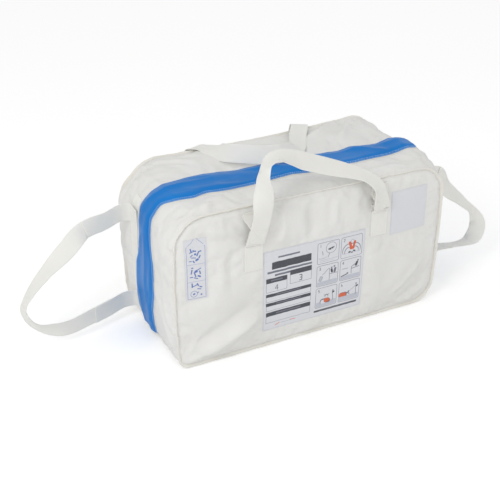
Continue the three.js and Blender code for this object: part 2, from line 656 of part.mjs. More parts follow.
// The tab starts flat on the end of the bag, turns out of it and runs on into the loop
function sideRoute(name) {
  const end = endSign[name];
  const drape = SIDE_DRAPE[name];
  const layered = SEAM_GAP * 2 + WEBBING_THICKNESS * 1.5;
  const height = (share) => lerp(LOWER_TAB_HEIGHT, upperTabHeight, share);
  const root = (turn, [, leave, share]) => {
    const start = behindMiddle(leave) - SIDE_BEND_RADIUS;
    const flat = [1, 0.6, 0.25].map((part) => {
      const y = start - part * TAB_FLAT_LENGTH;
      const spot = bagPoint(end * BAG_LENGTH / 2, y, height(share));
      return row(spot.x + end * layered, y, height(share), ...turn);
    });
    const spot = bagPoint(end * BAG_LENGTH / 2, start, height(share));
    const bend = [0, 1, 2].map((sixth) => {
      const angle = (sixth * Math.PI) / 6;
      const out = layered + SIDE_BEND_RADIUS * (1 - Math.cos(angle));
      return row(spot.x + end * out, start + SIDE_BEND_RADIUS * Math.sin(angle), height(share), ...turn);
    });
    return [...flat, ...bend];
  };
  const loop = drape.map(([out, behind, share, turn]) => row(
    end * (BAG_LENGTH / 2 + out * loopReach[name]), behindMiddle(behind), height(share), ...turn,
  ));
  const upper = root([0, 0, 1], drape[0]);
  const lower = root([0, 0, -1], drape[drape.length - 1]).reverse();
  return new Route([...upper, ...loop, ...lower]);
}

// Thin pieces sewn flat on the bag are cut from a shell of their own thickness over it
function skin(region, thickness) {
  return solid(bagGeometry(SEAM_GAP + thickness)).intersect(region).subtract(bagWithGap);
}

function slab(minX, maxX, minY, maxY, minZ, maxZ, tilt = 0) {
  const box = weld(new THREE.BoxGeometry(maxX - minX, maxY - minY, maxZ - minZ));
  box.rotateY(tilt);
  return solid(box.translate((minX + maxX) / 2, (minY + maxY) / 2, (minZ + maxZ) / 2));
}

const SLAB_DEPTH = 60;

function panelSkin(side, centreX, width, foot, height, thickness, tilt = 0) {
  const face = side * BAG_DEPTH / 2;
  const region = slab(
    centreX - width / 2, centreX + width / 2,
    face - SLAB_DEPTH / 2, face + SLAB_DEPTH / 2,
    foot, foot + height, tilt,
  );
  return skin(region, thickness);
}

// Strip of webbing up each end of the bag, that both tabs are sewn to
const flap = flapSolid().subtract(bagWithGap);
const flapRoom = flapSolid(SEAM_GAP, 4 * WEBBING_THICKNESS);
const flapCover = flapSolid(SEAM_GAP, SEAM_GAP).add(flap);

function anchorStrip(name) {
  const end = endSign[name];
  const face = end * BAG_LENGTH / 2;
  const seam = behindMiddle(SIDE_DRAPE[name][0][1]) - SIDE_BEND_RADIUS / 2;
  const [foot, head] = [LOWER_TAB_HEIGHT - WEBBING_WIDTH, upperTabHeight + WEBBING_WIDTH];
  const region = slab(
    face - SLAB_DEPTH / 2, face + SLAB_DEPTH / 2,
    seam - STRIP_WIDTH, seam,
    foot, head,
  );
  return skin(region, WEBBING_THICKNESS).subtract(flapRoom);
}

// Materials
const fabric = (color, roughness) => new THREE.MeshStandardMaterial({ color, roughness, metalness: 0 });
const coatedWhite = () => fabric(0xdededa, 0.55);
const coatedBlue = () => fabric(0x2679c6, 0.35);
const tapeWhite = () => fabric(0xe2e0d8, 0.7);
const webbingWhite = () => fabric(0xe6e6de, 0.8);
const printedFilm = () => fabric(0xe4e6ec, 0.5);

const valise = new THREE.Group();

function add(name, geometry, material) {
  const mesh = new THREE.Mesh(geometry, material);
  mesh.name = name;
  valise.add(mesh);
}

const clearOfBag = (geometry) => geometryOf(solid(geometry).subtract(bagWithGap));

add('packed_body', geometryOf(bag), coatedWhite());
add('closure_flap', geometryOf(flap), coatedBlue());
add('front_binding', clearOfBag(bindingGeometry(FRONT)), tapeWhite());
add('rear_binding', clearOfBag(bindingGeometry(REAR)), tapeWhite());

for (const [place, side] of [['front', FRONT], ['rear', REAR]]) {
  for (const [hand, end] of [['left', LEFT], ['right', RIGHT]]) {
    const foot = patchFoot(end);
    const patch = panelSkin(side, legX(end), WEBBING_WIDTH, foot, PATCH_LENGTH, WEBBING_THICKNESS);
    add(`${place}_handle_patch_${hand}`, geometryOf(patch), webbingWhite());
    const route = tabRoute(side, end);
    add(`${place}_handle_tab_${hand}`, clearOfBag(webbing(route, 0, route.length)), webbingWhite());
  }
}

const handleRoutes = [['front', FRONT, frontHandleRoute()], ['rear', REAR, rearHandleRoute()]];
for (const [place, side, route] of handleRoutes) {
  let handle = solid(webbing(route, 0, route.length)).subtract(bagWithGap);
  for (const end of [LEFT, RIGHT]) {
    const tab = tabRoute(side, end);
    handle = handle.subtract(solid(webbing(tab, 0, tab.length, 0, SEAM_GAP)));
  }
  add(`${place}_handle`, geometryOf(handle), webbingWhite());
}

for (const name of ['left', 'right']) {
  const route = sideRoute(name);
  const apart = (WEBBING_THICKNESS + SEAM_GAP) / 2;
  const loopStart = SIDE_TAB_LENGTH - SIDE_OVERLAP;
  let loop = solid(webbing(route, loopStart, route.length - loopStart, apart)).subtract(bagWithGap);
  add(`${name}_anchor_strip`, geometryOf(anchorStrip(name)), webbingWhite());
  for (const [place, from] of [['upper', 0], ['lower', route.length - SIDE_TAB_LENGTH]]) {
    const to = from + SIDE_TAB_LENGTH;
    const tab = solid(webbing(route, from, to, -apart)).subtract(strippedBag);
    add(`${name}_${place}_tab`, geometryOf(tab.subtract(flapRoom).subtract(flapCover)), webbingWhite());
    loop = loop.subtract(solid(webbing(route, from, to, -apart, 0.8 * SEAM_GAP)));
  }
  add(`${name}_side_handle`, geometryOf(loop), webbingWhite());
}

const mainLabel = panelSkin(
  FRONT, MAIN_LABEL_CENTRE, MAIN_LABEL_WIDTH, MAIN_LABEL_FOOT, MAIN_LABEL_HEIGHT, LABEL_THICKNESS,
);
add('main_label', geometryOf(mainLabel), printedFilm());

const sideLabelCentre = -BAG_LENGTH / 2 + SIDE_LABEL_INSET + SIDE_LABEL_WIDTH / 2;
const sideLabel = panelSkin(
  FRONT, sideLabelCentre, SIDE_LABEL_WIDTH, SIDE_LABEL_FOOT, SIDE_LABEL_HEIGHT, LABEL_THICKNESS,
);
add('side_label', geometryOf(sideLabel), printedFilm());

// The corner patch keeps clear of the webbing beside it
const besideHandle = legX(RIGHT) + WEBBING_WIDTH / 2 + CORNER_PATCH_GAP;
const cornerPatch = panelSkin(
  FRONT, besideHandle + CORNER_PATCH_WIDTH / 2, CORNER_PATCH_WIDTH,
  BAG_HEIGHT - CORNER_PATCH_DROP - CORNER_PATCH_HEIGHT, CORNER_PATCH_HEIGHT, LABEL_THICKNESS,
);
add('corner_patch', geometryOf(cornerPatch), printedFilm());

export default valise;
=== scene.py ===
# %% [markdown]
# # A packed liferaft valise
#
# The real object is a soft bag of coated cloth, packed hard with a folded raft. A glossy blue flap closes
# it over the top, bias tape binds the seams, and webbing handles are sewn on with box stitches. The solids
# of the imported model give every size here. This lesson turns them into cloth, webbing, thread and print.

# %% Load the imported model
import math

import bpy
import numpy as np
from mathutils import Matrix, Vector, noise
from mathutils.bvhtree import BVHTree


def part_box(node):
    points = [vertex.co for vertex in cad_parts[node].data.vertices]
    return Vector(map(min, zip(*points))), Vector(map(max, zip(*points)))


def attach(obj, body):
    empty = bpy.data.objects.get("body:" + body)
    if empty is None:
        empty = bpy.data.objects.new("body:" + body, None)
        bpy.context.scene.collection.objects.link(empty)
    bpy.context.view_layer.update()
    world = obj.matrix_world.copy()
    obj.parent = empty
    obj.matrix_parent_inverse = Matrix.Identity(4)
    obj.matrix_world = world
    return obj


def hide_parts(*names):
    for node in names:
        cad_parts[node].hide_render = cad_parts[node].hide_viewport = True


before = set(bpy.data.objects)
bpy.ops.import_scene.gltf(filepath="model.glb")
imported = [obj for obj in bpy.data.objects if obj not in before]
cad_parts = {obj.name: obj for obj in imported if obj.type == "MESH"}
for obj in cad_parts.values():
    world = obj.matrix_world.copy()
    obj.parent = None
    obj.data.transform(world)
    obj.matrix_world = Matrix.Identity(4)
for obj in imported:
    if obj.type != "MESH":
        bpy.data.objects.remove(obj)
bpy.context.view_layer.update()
MM = 0.001

# %% [markdown]
# ## Small helpers
#
# Operators act on whatever is selected, so each step first selects one piece alone. A copy of a solid is
# loose triangles: merging its doubles and turning triangles to quads gives a mesh that subdivides well.


# %% Select one piece, apply a modifier, copy a solid
def select_only(piece):
    bpy.ops.object.select_all(action="DESELECT")
    piece.select_set(True)
    bpy.context.view_layer.objects.active = piece


def apply_modifier(piece, kind, **settings):
    modifier = piece.modifiers.new(kind.title(), kind)
    for setting, value in settings.items():
        setattr(modifier, setting, value)
    select_only(piece)
    bpy.ops.object.modifier_apply(modifier=modifier.name)


def copy_solid(node, name):
    piece = bpy.data.objects.new(name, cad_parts[node].data.copy())
    bpy.context.collection.objects.link(piece)
    piece.data.materials.clear()
    select_only(piece)
    bpy.ops.object.mode_set(mode="EDIT")
    bpy.ops.mesh.select_all(action="SELECT")
    bpy.ops.mesh.remove_doubles(threshold=0.01 * MM)
    bpy.ops.mesh.tris_convert_to_quads(face_threshold=0.7, shape_threshold=1.2)
    bpy.ops.object.mode_set(mode="OBJECT")
    return piece


def points_of(piece):
    points = np.empty(len(piece.data.vertices) * 3)
    piece.data.vertices.foreach_get("co", points)
    return points.reshape(-1, 3)


def move_points(piece, points):
    piece.data.vertices.foreach_set("co", np.ascontiguousarray(points, dtype=np.float32).ravel())
    piece.data.update()


def surface_of(piece):
    mesh = piece.data
    corners = [vertex.co.copy() for vertex in mesh.vertices]
    return BVHTree.FromPolygons(corners, [face.vertices[:] for face in mesh.polygons])


def distance_to(tree, points, reach=0.05):
    found = (tree.find_nearest(Vector(point), reach) for point in points)
    return np.array([reach if hit[3] is None else hit[3] for hit in found])


def fade(values, start, end):
    share = np.clip((np.asarray(values, dtype=float) - start) / (end - start), 0, 1)
    return share * share * (3 - 2 * share)


def wander(points, size, seed=0):
    shift = Vector((seed * 7.3, seed * 3.1, seed * 5.7))
    return np.array([noise.noise(Vector(point) / size + shift) for point in points])


def smooth_shade(piece, angle=50):
    select_only(piece)
    bpy.ops.object.shade_smooth_by_angle(angle=math.radians(angle))


def finish_piece(piece, slot, material, *nodes):
    piece.data.materials.clear()
    piece.data.materials.append(material)
    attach(piece, "root")
    if nodes:
        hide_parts(*nodes)
    print(f"{piece.name}: {len(piece.data.polygons)} faces")


# %% [markdown]
# ## Cloth and webbing finishes
#
# Coated cloth has a thin plastic skin: a soft gloss over a weave that only shows close up. A Principled
# shader with a little coat does that, with two sizes of noise in the bump. Colours drift by a few percent,
# because nothing handled on a deck stays one even colour.


# %% Node helpers
def new_material(name):
    material = bpy.data.materials.new(name)
    material.use_nodes = True
    tree = material.node_tree
    shader = tree.nodes["Principled BSDF"]
    return material, tree, shader


def node(tree, kind, inputs=(), **settings):
    made = tree.nodes.new(kind)
    for setting, value in settings.items():
        setattr(made, setting, value)
    for socket, value in dict(inputs).items():
        if isinstance(value, bpy.types.NodeSocket):
            tree.links.new(value, made.inputs[socket])
        else:
            made.inputs[socket].default_value = value
    return made


def blend_colour(tree, share, first, second):
    mix = node(tree, "ShaderNodeMix", {0: share, 6: first, 7: second}, data_type="RGBA")
    return mix.outputs[2]


def object_place(tree):
    return node(tree, "ShaderNodeTexCoord").outputs["Object"]


def bump(tree, shader, layers):
    normal = None
    for height, depth in layers:
        inputs = {"Height": height, "Distance": depth, "Strength": 1.0}
        if normal is not None:
            inputs["Normal"] = normal
        normal = node(tree, "ShaderNodeBump", inputs).outputs["Normal"]
    tree.links.new(normal, shader.inputs["Normal"])


def coated_cloth(name, colour, shadow_colour, roughness, coat, weave=1400, crumple=0.5):
    material, tree, shader = new_material(name)
    place = object_place(tree)
    drift = node(tree, "ShaderNodeTexNoise", {"Vector": place, "Scale": 9.0, "Detail": 4.0})
    ramp = node(tree, "ShaderNodeMapRange", {0: drift.outputs[0], 1: 0.35, 2: 0.7, 3: 0.0, 4: 1.0})
    tree.links.new(blend_colour(tree, ramp.outputs[0], colour, shadow_colour), shader.inputs["Base Color"])
    weft = node(tree, "ShaderNodeTexNoise", {"Vector": place, "Scale": float(weave), "Detail": 1.0})
    dent_settings = {"Vector": place, "Scale": 38.0, "Detail": 3.0, "Distortion": 0.6}
    dents = node(tree, "ShaderNodeTexNoise", dent_settings)
    bump(tree, shader, [(dents.outputs[0], crumple * MM), (weft.outputs[0], 0.04 * MM)])
    shader.inputs["Roughness"].default_value = roughness
    shader.inputs["Coat Weight"].default_value = coat
    shader.inputs["Coat Roughness"].default_value = 0.3
    return material


RIB_PITCH = 1.9
YARN_PITCH = 2.4


def webbing_finish(name, colour, groove_painted_shade):
    material, tree, shader = new_material(name)
    weave = node(tree, "ShaderNodeUVMap", uv_map="weave")
    parts = node(tree, "ShaderNodeSeparateXYZ", {0: weave.outputs[0]})
    rib_turns = {0: parts.outputs[0], 1: 2 * math.pi / RIB_PITCH}
    rib = node(tree, "ShaderNodeMath", rib_turns, operation="MULTIPLY")
    rib = node(tree, "ShaderNodeMath", {0: rib.outputs[0]}, operation="SINE")
    yarn_turns = {0: parts.outputs[1], 1: 2 * math.pi / YARN_PITCH}
    yarn = node(tree, "ShaderNodeMath", yarn_turns, operation="MULTIPLY")
    yarn = node(tree, "ShaderNodeMath", {0: yarn.outputs[0]}, operation="SINE")
    both = node(tree, "ShaderNodeMath", {0: rib.outputs[0], 1: yarn.outputs[0]}, operation="MULTIPLY")
    # Painted shade: the grooves between the ribs, where the bump is lowest, get the darker second colour.
    groove_shade_share = node(tree, "ShaderNodeMapRange", {0: rib.outputs[0], 1: -1.0, 2: 1.0, 3: 0.0, 4: 1.0})
    tree.links.new(blend_colour(tree, groove_shade_share.outputs[0], groove_painted_shade, colour), shader.inputs["Base Color"])
    bump(tree, shader, [(rib.outputs[0], 0.16 * MM), (both.outputs[0], 0.08 * MM)])
    shader.inputs["Roughness"].default_value = 0.72
    shader.inputs["Sheen Weight"].default_value = 0.15
    return material


def plain_thread(name, colour):
    material, tree, shader = new_material(name)
    twist = node(tree, "ShaderNodeTexNoise", {"Vector": object_place(tree), "Scale": 900.0})
    bump(tree, shader, [(twist.outputs[0], 0.1 * MM)])
    shader.inputs["Base Color"].default_value = colour
    shader.inputs["Roughness"].default_value = 0.6
    return material


# %% The finishes of this valise
WHITE, SHADED_WHITE = (0.79, 0.785, 0.765, 1), (0.75, 0.745, 0.72, 1)
BLUE, SHADED_BLUE = (0.004, 0.195, 0.6, 1), (0.003, 0.165, 0.53, 1)
TAPE, SHADED_TAPE = (0.82, 0.81, 0.76, 1), (0.77, 0.75, 0.68, 1)
# WEBBING is the webbing's own colour; the second webbing colour is painted shade for the grooves between its
# ribs.
WEBBING, RIB_GROOVE_PAINTED_SHADE = (0.9, 0.9, 0.865, 1), (0.84, 0.83, 0.78, 1)
white_cloth = coated_cloth("white_coated_cloth", WHITE, SHADED_WHITE, roughness=0.5, coat=0.04)
blue_cloth = coated_cloth("blue_coated_cloth", BLUE, SHADED_BLUE, roughness=0.34, coat=0.0)
blue_cloth.node_tree.nodes["Principled BSDF"].inputs["Specular IOR Level"].default_value = 0.22
edge_tape = coated_cloth("edge_tape", TAPE, SHADED_TAPE, roughness=0.7, coat=0.0, weave=900, crumple=0.4)
webbing_cloth = webbing_finish("ribbed_webbing", WEBBING, RIB_GROOVE_PAINTED_SHADE)
white_thread = plain_thread("white_thread", (0.8, 0.79, 0.74, 1))
blue_edge_thread = plain_thread("pale_blue_thread", (0.55, 0.7, 0.88, 1))
print("finishes", [m.name for m in (white_cloth, blue_cloth, edge_tape, webbing_cloth)])

# %% [markdown]
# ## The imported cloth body
#
# The bag is a cushion: stuffed hard, and held in by its seams. So the solid is remeshed into small even
# squares and run through Blender's cloth with a little pressure and a little spare cloth. Seams, sewn
# patches and the flat base are pinned, and the spare cloth between them buckles the way it does on the
# real bag. How far any point may move is capped, because the sewn pieces have to stay where they are.

# %% Even squares for the cloth
VOXEL = 8.2 * MM
CLOTH_FRAMES = 18
MOST_MOVE = 7 * MM
PRESSURE = 2.5
SPARE_CLOTH = 0.035
body = copy_solid("packed_body", "valise_body")
apply_modifier(body, "REMESH", mode="VOXEL", voxel_size=VOXEL)
packed_points = points_of(body)
print("body squares", len(body.data.polygons))


# %% What the body is sewn to, and how firmly
def node_tree_of(*nodes):
    copies = [copy_solid(name, f"gauge_{name}") for name in nodes]
    trees = [surface_of(piece) for piece in copies]
    for piece in copies:
        bpy.data.objects.remove(piece)
    return trees


def nearest_of(trees, points):
    return np.min([distance_to(tree, points) for tree in trees], axis=0)


seam_gap = nearest_of(node_tree_of("front_binding", "rear_binding"), packed_points)
flap_gap = nearest_of(node_tree_of("closure_flap"), packed_points)
PATCHES = [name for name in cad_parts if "patch" in name or "strip" in name or "handle_tab" in name]
patch_gap = nearest_of(node_tree_of(*PATCHES), packed_points)
LABELS = ["main_label", "side_label", "corner_patch"]
label_gap = nearest_of(node_tree_of(*LABELS), packed_points)

# Each is held fully up to its first distance, and lies free beyond its second
hold = np.maximum.reduce([
    1 - fade(seam_gap, 3 * MM, 16 * MM),
    1 - fade(flap_gap, 2 * MM, 12 * MM),
    1 - fade(patch_gap, 4 * MM, 18 * MM),
    0.55 * (1 - fade(label_gap, 2 * MM, 14 * MM)),
    1 - fade(packed_points[:, 2], 3 * MM, 22 * MM),
])
print("pinned points", int((hold > 0.9).sum()), "of", len(hold))


# %% Pressure and spare cloth
def stuff(piece, weights, pressure, spare, frames, most_move):
    group = piece.vertex_groups.new(name="sewn")
    for weight in np.unique(np.round(weights, 2)):
        members = np.nonzero(np.round(weights, 2) == weight)[0].tolist()
        group.add(members, float(weight), "REPLACE")
    cloth = piece.modifiers.new("Stuffing", "CLOTH")
    cloth.settings.quality = 5
    cloth.settings.mass = 0.35
    cloth.settings.tension_stiffness = 25
    cloth.settings.compression_stiffness = 25
    cloth.settings.shear_stiffness = 8
    cloth.settings.bending_stiffness = 1.2
    cloth.settings.use_pressure = True
    cloth.settings.uniform_pressure_force = pressure
    cloth.settings.shrink_min = -spare
    cloth.settings.vertex_group_mass = group.name
    cloth.settings.effector_weights.gravity = 0
    cloth.collision_settings.use_collision = False
    cloth.point_cache.frame_start = 1
    cloth.point_cache.frame_end = frames
    before = points_of(piece)
    for frame_number in range(1, frames + 1):
        bpy.context.scene.frame_set(frame_number)
    select_only(piece)
    bpy.ops.object.modifier_apply(modifier=cloth.name)
    moved = points_of(piece) - before
    length = np.linalg.norm(moved, axis=1)
    capped = most_move * np.tanh(length / most_move)
    moved *= (capped / np.maximum(length, 1e-9))[:, None]
    move_points(piece, before + moved)
    bpy.context.scene.frame_set(1)
    print(f"{piece.name}: moved {capped.mean() / MM:.1f} mm on average, {capped.max() / MM:.1f} mm at most")


stuff(body, hold, PRESSURE, SPARE_CLOTH, CLOTH_FRAMES, MOST_MOVE)

# %% [markdown]
# Handling leaves finer marks than the cloth run does: short puckers where a seam gathers the cloth, creases
# that fan out of the corners where the load pulls, and a few soft folds where the bag has been lifted. A
# sculptor would brush them in. Here one subdivision gives points to carve, and each crease is a sine of the
# angle round its corner, so the folds open like a fan and come out the same in every run. Soft folds are
# single ridges with a dip beside them. All of it fades out at the seams, the flap and the sewn sheets.

# %% Finer squares
apply_modifier(body, "SUBSURF", levels=1, render_levels=1)
fine_points = points_of(body)
fine_normals = np.empty(len(fine_points) * 3)
body.data.vertices.foreach_get("normal", fine_normals)
fine_normals = fine_normals.reshape(-1, 3)
print("fine squares", len(body.data.polygons))

# %% Creases fan out of the corners and the handle roots
HALF_LENGTH, HALF_DEPTH, HEIGHT = 0.375, 0.185, 0.405
# face, corner on that face, reach, depth, folds in a full turn, phase
FANS = [
    ("front", (-0.345, 0.365), 0.16, 1.6, 11, 0.4),
    ("front", (0.335, 0.03), 0.2, 1.8, 10, 1.1),
    ("front", (-0.36, 0.01), 0.26, 2.6, 9, 2.0),
    ("front", (0.34, 0.38), 0.13, 1.2, 11, 0.7),
    ("front", (-0.18, 0.33), 0.12, 1.6, 9, 0.2),
    ("front", (0.172, 0.335), 0.11, 1.2, 9, 1.7),
    ("back", (-0.345, 0.365), 0.2, 2.0, 11, 0.9),
    ("back", (0.335, 0.03), 0.2, 2.0, 10, 0.1),
    ("back", (0.34, 0.375), 0.18, 1.8, 11, 1.4),
    ("back", (-0.35, 0.03), 0.2, 2.0, 10, 2.4),
    ("top", (-0.33, 0.18), 0.22, 3.2, 13, 0.3),
    ("top", (-0.31, -0.17), 0.13, 1.6, 12, 1.9),
    ("top", (0.33, 0.19), 0.3, 3.4, 12, 0.8),
    ("top", (0.33, -0.16), 0.15, 1.4, 11, 2.2),
    ("left", (-0.175, 0.36), 0.16, 2.0, 12, 0.5),
    ("left", (-0.17, 0.03), 0.17, 1.6, 11, 1.5),
    ("left", (0.165, 0.34), 0.15, 1.8, 10, 0.6),
    ("left", (0.165, 0.03), 0.15, 1.8, 10, 2.6),
    ("right", (0.16, 0.34), 0.17, 2.0, 10, 0.5),
    ("right", (0.16, 0.03), 0.17, 2.0, 10, 1.2),
    ("right", (-0.165, 0.34), 0.15, 1.8, 11, 0.1),
]
# axis across the face, axis up it, axis out of it, and which way is out
FACE_AXES = {
    "front": (0, 2, 1, -1),
    "back": (0, 2, 1, 1),
    "top": (0, 1, 2, 1),
    "left": (1, 2, 0, -1),
    "right": (1, 2, 0, 1),
}


def fan_depth(points, normals):
    depth = np.zeros(len(points))
    waver = wander(points, 0.11, 4)
    patchy = np.clip(0.5 + 1.3 * wander(points, 0.075, 9), 0, 1.2)
    for face, corner, reach, crease, folds, phase in FANS:
        across, up, out, side = FACE_AXES[face]
        dx = points[:, across] - corner[0]
        dz = points[:, up] - corner[1]
        far = np.hypot(dx, dz)
        angle = np.arctan2(dz, dx)
        on_face = fade(side * normals[:, out], 0.55, 0.9)
        window = fade(far, 0.012, 0.045) * (1 - fade(far, 0.3 * reach, reach))
        wave = 1 - 1.9 * np.abs(np.sin(0.5 * (folds * angle + phase + 4.5 * waver))) ** 0.8
        depth += crease * MM * on_face * window * wave * patchy
    return depth


# face, start, end, height in mm, half width in metres
SOFT_FOLDS = [
    ("front", (-0.355, 0.012), (-0.15, 0.115), 6.0, 0.012),
    ("front", (-0.35, 0.05), (-0.17, 0.16), -4.0, 0.02),
    ("front", (-0.34, 0.365), (-0.3, 0.31), 4.0, 0.01),
    ("front", (-0.315, 0.375), (-0.23, 0.335), 3.0, 0.009),
    ("front", (-0.105, 0.385), (-0.11, 0.285), 4.0, 0.011),
    ("front", (-0.03, 0.385), (-0.015, 0.29), -3.0, 0.014),
    ("front", (0.05, 0.38), (0.04, 0.3), 2.5, 0.01),
    ("front", (-0.245, 0.3), (-0.235, 0.19), -4.0, 0.012),
    ("front", (0.2, 0.235), (0.3, 0.16), 2.5, 0.011),
    ("front", (0.225, 0.07), (0.335, 0.15), 3.0, 0.012),
    ("front", (0.25, 0.03), (0.345, 0.085), -3.0, 0.011),
    ("front", (0.14, 0.23), (0.2, 0.05), 2.5, 0.014),
    ("top", (-0.335, 0.175), (-0.2, 0.075), 4.0, 0.009),
    ("top", (-0.33, 0.155), (-0.25, 0.06), -3.0, 0.008),
    ("top", (-0.3, 0.18), (-0.16, 0.12), 3.5, 0.01),
    ("top", (-0.29, -0.165), (-0.2, -0.1), 3.5, 0.008),
    ("top", (-0.33, -0.15), (-0.24, -0.155), 2.5, 0.007),
    ("top", (0.33, 0.19), (0.11, 0.1), 4.5, 0.011),
    ("top", (0.33, 0.19), (0.14, 0.15), -3.5, 0.009),
    ("top", (0.31, 0.17), (0.19, 0.03), 4.0, 0.01),
    ("top", (0.29, -0.15), (0.12, -0.13), 2.5, 0.01),
    ("top", (0.06, -0.16), (-0.08, -0.12), 3.0, 0.011),
    ("top", (-0.05, 0.17), (0.1, 0.13), 3.5, 0.012),
    ("left", (0.165, 0.36), (0.135, 0.09), 4.5, 0.007),
    ("left", (-0.175, 0.35), (-0.12, 0.27), 3.0, 0.009),
    ("left", (-0.17, 0.09), (-0.13, 0.2), 3.0, 0.01),
    ("back", (-0.3, 0.04), (-0.16, 0.18), 5.0, 0.016),
    ("back", (0.33, 0.36), (0.14, 0.29), 5.0, 0.015),
    ("back", (-0.33, 0.36), (-0.2, 0.25), 4.0, 0.013),
    ("back", (0.33, 0.04), (0.2, 0.16), 4.0, 0.014),
    ("right", (0.165, 0.35), (0.11, 0.22), 4.0, 0.011),
    ("right", (-0.16, 0.05), (-0.12, 0.2), 3.5, 0.011),
]


def soft_folds(points, normals):
    height = np.zeros(len(points))
    sway = 12 * MM * wander(points, 0.09, 11)
    for face, start, end, rise, spread in SOFT_FOLDS:
        across, up, out, side = FACE_AXES[face]
        run = np.subtract(end, start)
        length = np.hypot(*run)
        dx, dy = points[:, across] - start[0], points[:, up] - start[1]
        along = (dx * run[0] + dy * run[1]) / length**2
        aside = (dx * run[1] - dy * run[0]) / length + sway
        on_face = fade(side * normals[:, out], 0.5, 0.9)
        reach = fade(along, -0.1, 0.15) * (1 - fade(along, 0.6, 1.1))
        crest = np.exp(-np.abs(aside / spread) ** 1.5)
        dip = 0.45 * np.exp(-((aside - 1.9 * spread) / spread) ** 2)
        height += rise * MM * on_face * reach * (crest - dip)
    return height


# %% Carve the creases, the puckers and the slack
CREASE_STRENGTH, FOLD_STRENGTH = 1.4, 1.2
PUCKER_HEIGHT, SWELL_HEIGHT, SLACK_HEIGHT = 2.2 * MM, 1.8 * MM, 0.8 * MM
soft_hold = fade(nearest_of(node_tree_of(*LABELS, *PATCHES), fine_points), 1 * MM, 22 * MM)
edge_gap = nearest_of(node_tree_of("front_binding", "rear_binding"), fine_points)
flap_edge_gap = nearest_of(node_tree_of("closure_flap"), fine_points)
near_seams = np.exp(-edge_gap / (13 * MM)) + 0.8 * np.exp(-flap_edge_gap / (11 * MM))
pucker = wander(fine_points, 13 * MM, 1) * near_seams
swell = wander(fine_points, 85 * MM, 2)
slack = 1 - 2 * np.abs(wander(fine_points * [1, 1, 0.7], 42 * MM, 3))
off_base = fade(fine_points[:, 2], 2 * MM, 25 * MM)
creases = fan_depth(fine_points, fine_normals) + FOLD_STRENGTH * soft_folds(fine_points, fine_normals)
relief = CREASE_STRENGTH * creases * (0.35 + 0.65 * soft_hold)
relief += PUCKER_HEIGHT * pucker + SWELL_HEIGHT * swell * soft_hold + SLACK_HEIGHT * slack * soft_hold
under_flap = fade(flap_edge_gap, 0.6 * MM, 5 * MM)
move_points(body, fine_points + fine_normals * (relief * off_base * under_flap)[:, None])
smooth_shade(body, 80)
finish_piece(body, "body_cloth", white_cloth, "packed_body")
body_surface = surface_of(body)
print("relief from", round(relief.min() / MM, 1), "to", round(relief.max() / MM, 1), "mm")

# %% [markdown]
# ## Sewn sheets that follow the body
#
# A label or a patch starts as a flat grid standing in front of the bag. A Shrinkwrap modifier throws it
# straight back on to the cloth, so it takes every swell of the panel, and Solidify gives it its thickness.


# %% Lay a flat sheet on the body
CLEAR_OF_PANELS = 0.25
CLEAR_OF_BAG = 0.45


def upright_grid(name, face, low, high, stand_off, step):
    across, up, out, side = FACE_AXES[face]
    width, height = high[across] - low[across], high[up] - low[up]
    columns, rows = max(2, round(width / step)), max(2, round(height / step))
    bpy.ops.object.select_all(action="DESELECT")
    bpy.ops.mesh.primitive_grid_add(x_subdivisions=columns, y_subdivisions=rows, size=1)
    sheet = bpy.context.object
    sheet.name = sheet.data.name = name
    flat = points_of(sheet)
    points = np.zeros_like(flat)
    points[:, across] = low[across] + (flat[:, 0] + 0.5) * width
    points[:, up] = low[up] + (flat[:, 1] + 0.5) * height
    points[:, out] = side * stand_off
    move_points(sheet, points)
    weave = sheet.data.uv_layers[0]
    weave.name = "weave"
    spots = np.empty(len(weave.data) * 2)
    weave.data.foreach_get("uv", spots)
    spots = spots.reshape(-1, 2) * [width / MM, height / MM]
    weave.data.foreach_set("uv", spots[:, ::-1].ravel())
    return sheet


def face_outwards(piece, face):
    out, side = FACE_AXES[face][2:]
    if sum(side * polygon.normal[out] for polygon in piece.data.polygons) < 0:
        piece.data.flip_normals()


def lay_on_body(sheet, face, offset, thickness, target):
    apply_modifier(
        sheet, "SHRINKWRAP", target=target, wrap_method="PROJECT", wrap_mode="ABOVE_SURFACE",
        use_project_x=face in ("left", "right"), use_project_y=face in ("front", "back"),
        use_project_z=face == "top", use_negative_direction=True, use_positive_direction=True,
        offset=offset,
    )
    face_outwards(sheet, face)
    apply_modifier(sheet, "SOLIDIFY", thickness=thickness, offset=1)
    smooth_shade(sheet, 40)
    return sheet


def sewn_patch(node_name, face, thickness, step=4 * MM, offset=0.25 * MM):
    low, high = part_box(node_name)
    stand_off = CLEAR_OF_PANELS if face in ("front", "back") else CLEAR_OF_BAG
    sheet = upright_grid(f"sewn_{node_name}", face, low, high, stand_off, step)
    return lay_on_body(sheet, face, offset, thickness, body)


for place, face in (("front", "front"), ("rear", "back")):
    for hand in ("left", "right"):
        node_name = f"{place}_handle_patch_{hand}"
        finish_piece(sewn_patch(node_name, face, 1.8 * MM), "webbing", webbing_cloth, node_name)

# %% [markdown]
# ## Webbing straps
#
# Each strap solid is a chain of thin sections, 48 mm wide and 2 mm thick. The short edges at its two
# borders are found and paired across the width, which gives the strap's line and the way its width turns.
# A grid is then laid along it, finer than the solid, with its own UV map in millimetres for the ribs. A
# curve with a bevel would also give a strap, but it can't take the twist from the solid row by row.
#
# The solid of a tab is cut to the bag where it lies flat on it, so that end has no whole rows. It is
# carried on over the cloth by rays, to where the solid ends.

# %% Read a strap's line from its solid
WEBBING_WIDTH = 48 * MM
WEBBING_THICKNESS = 2 * MM


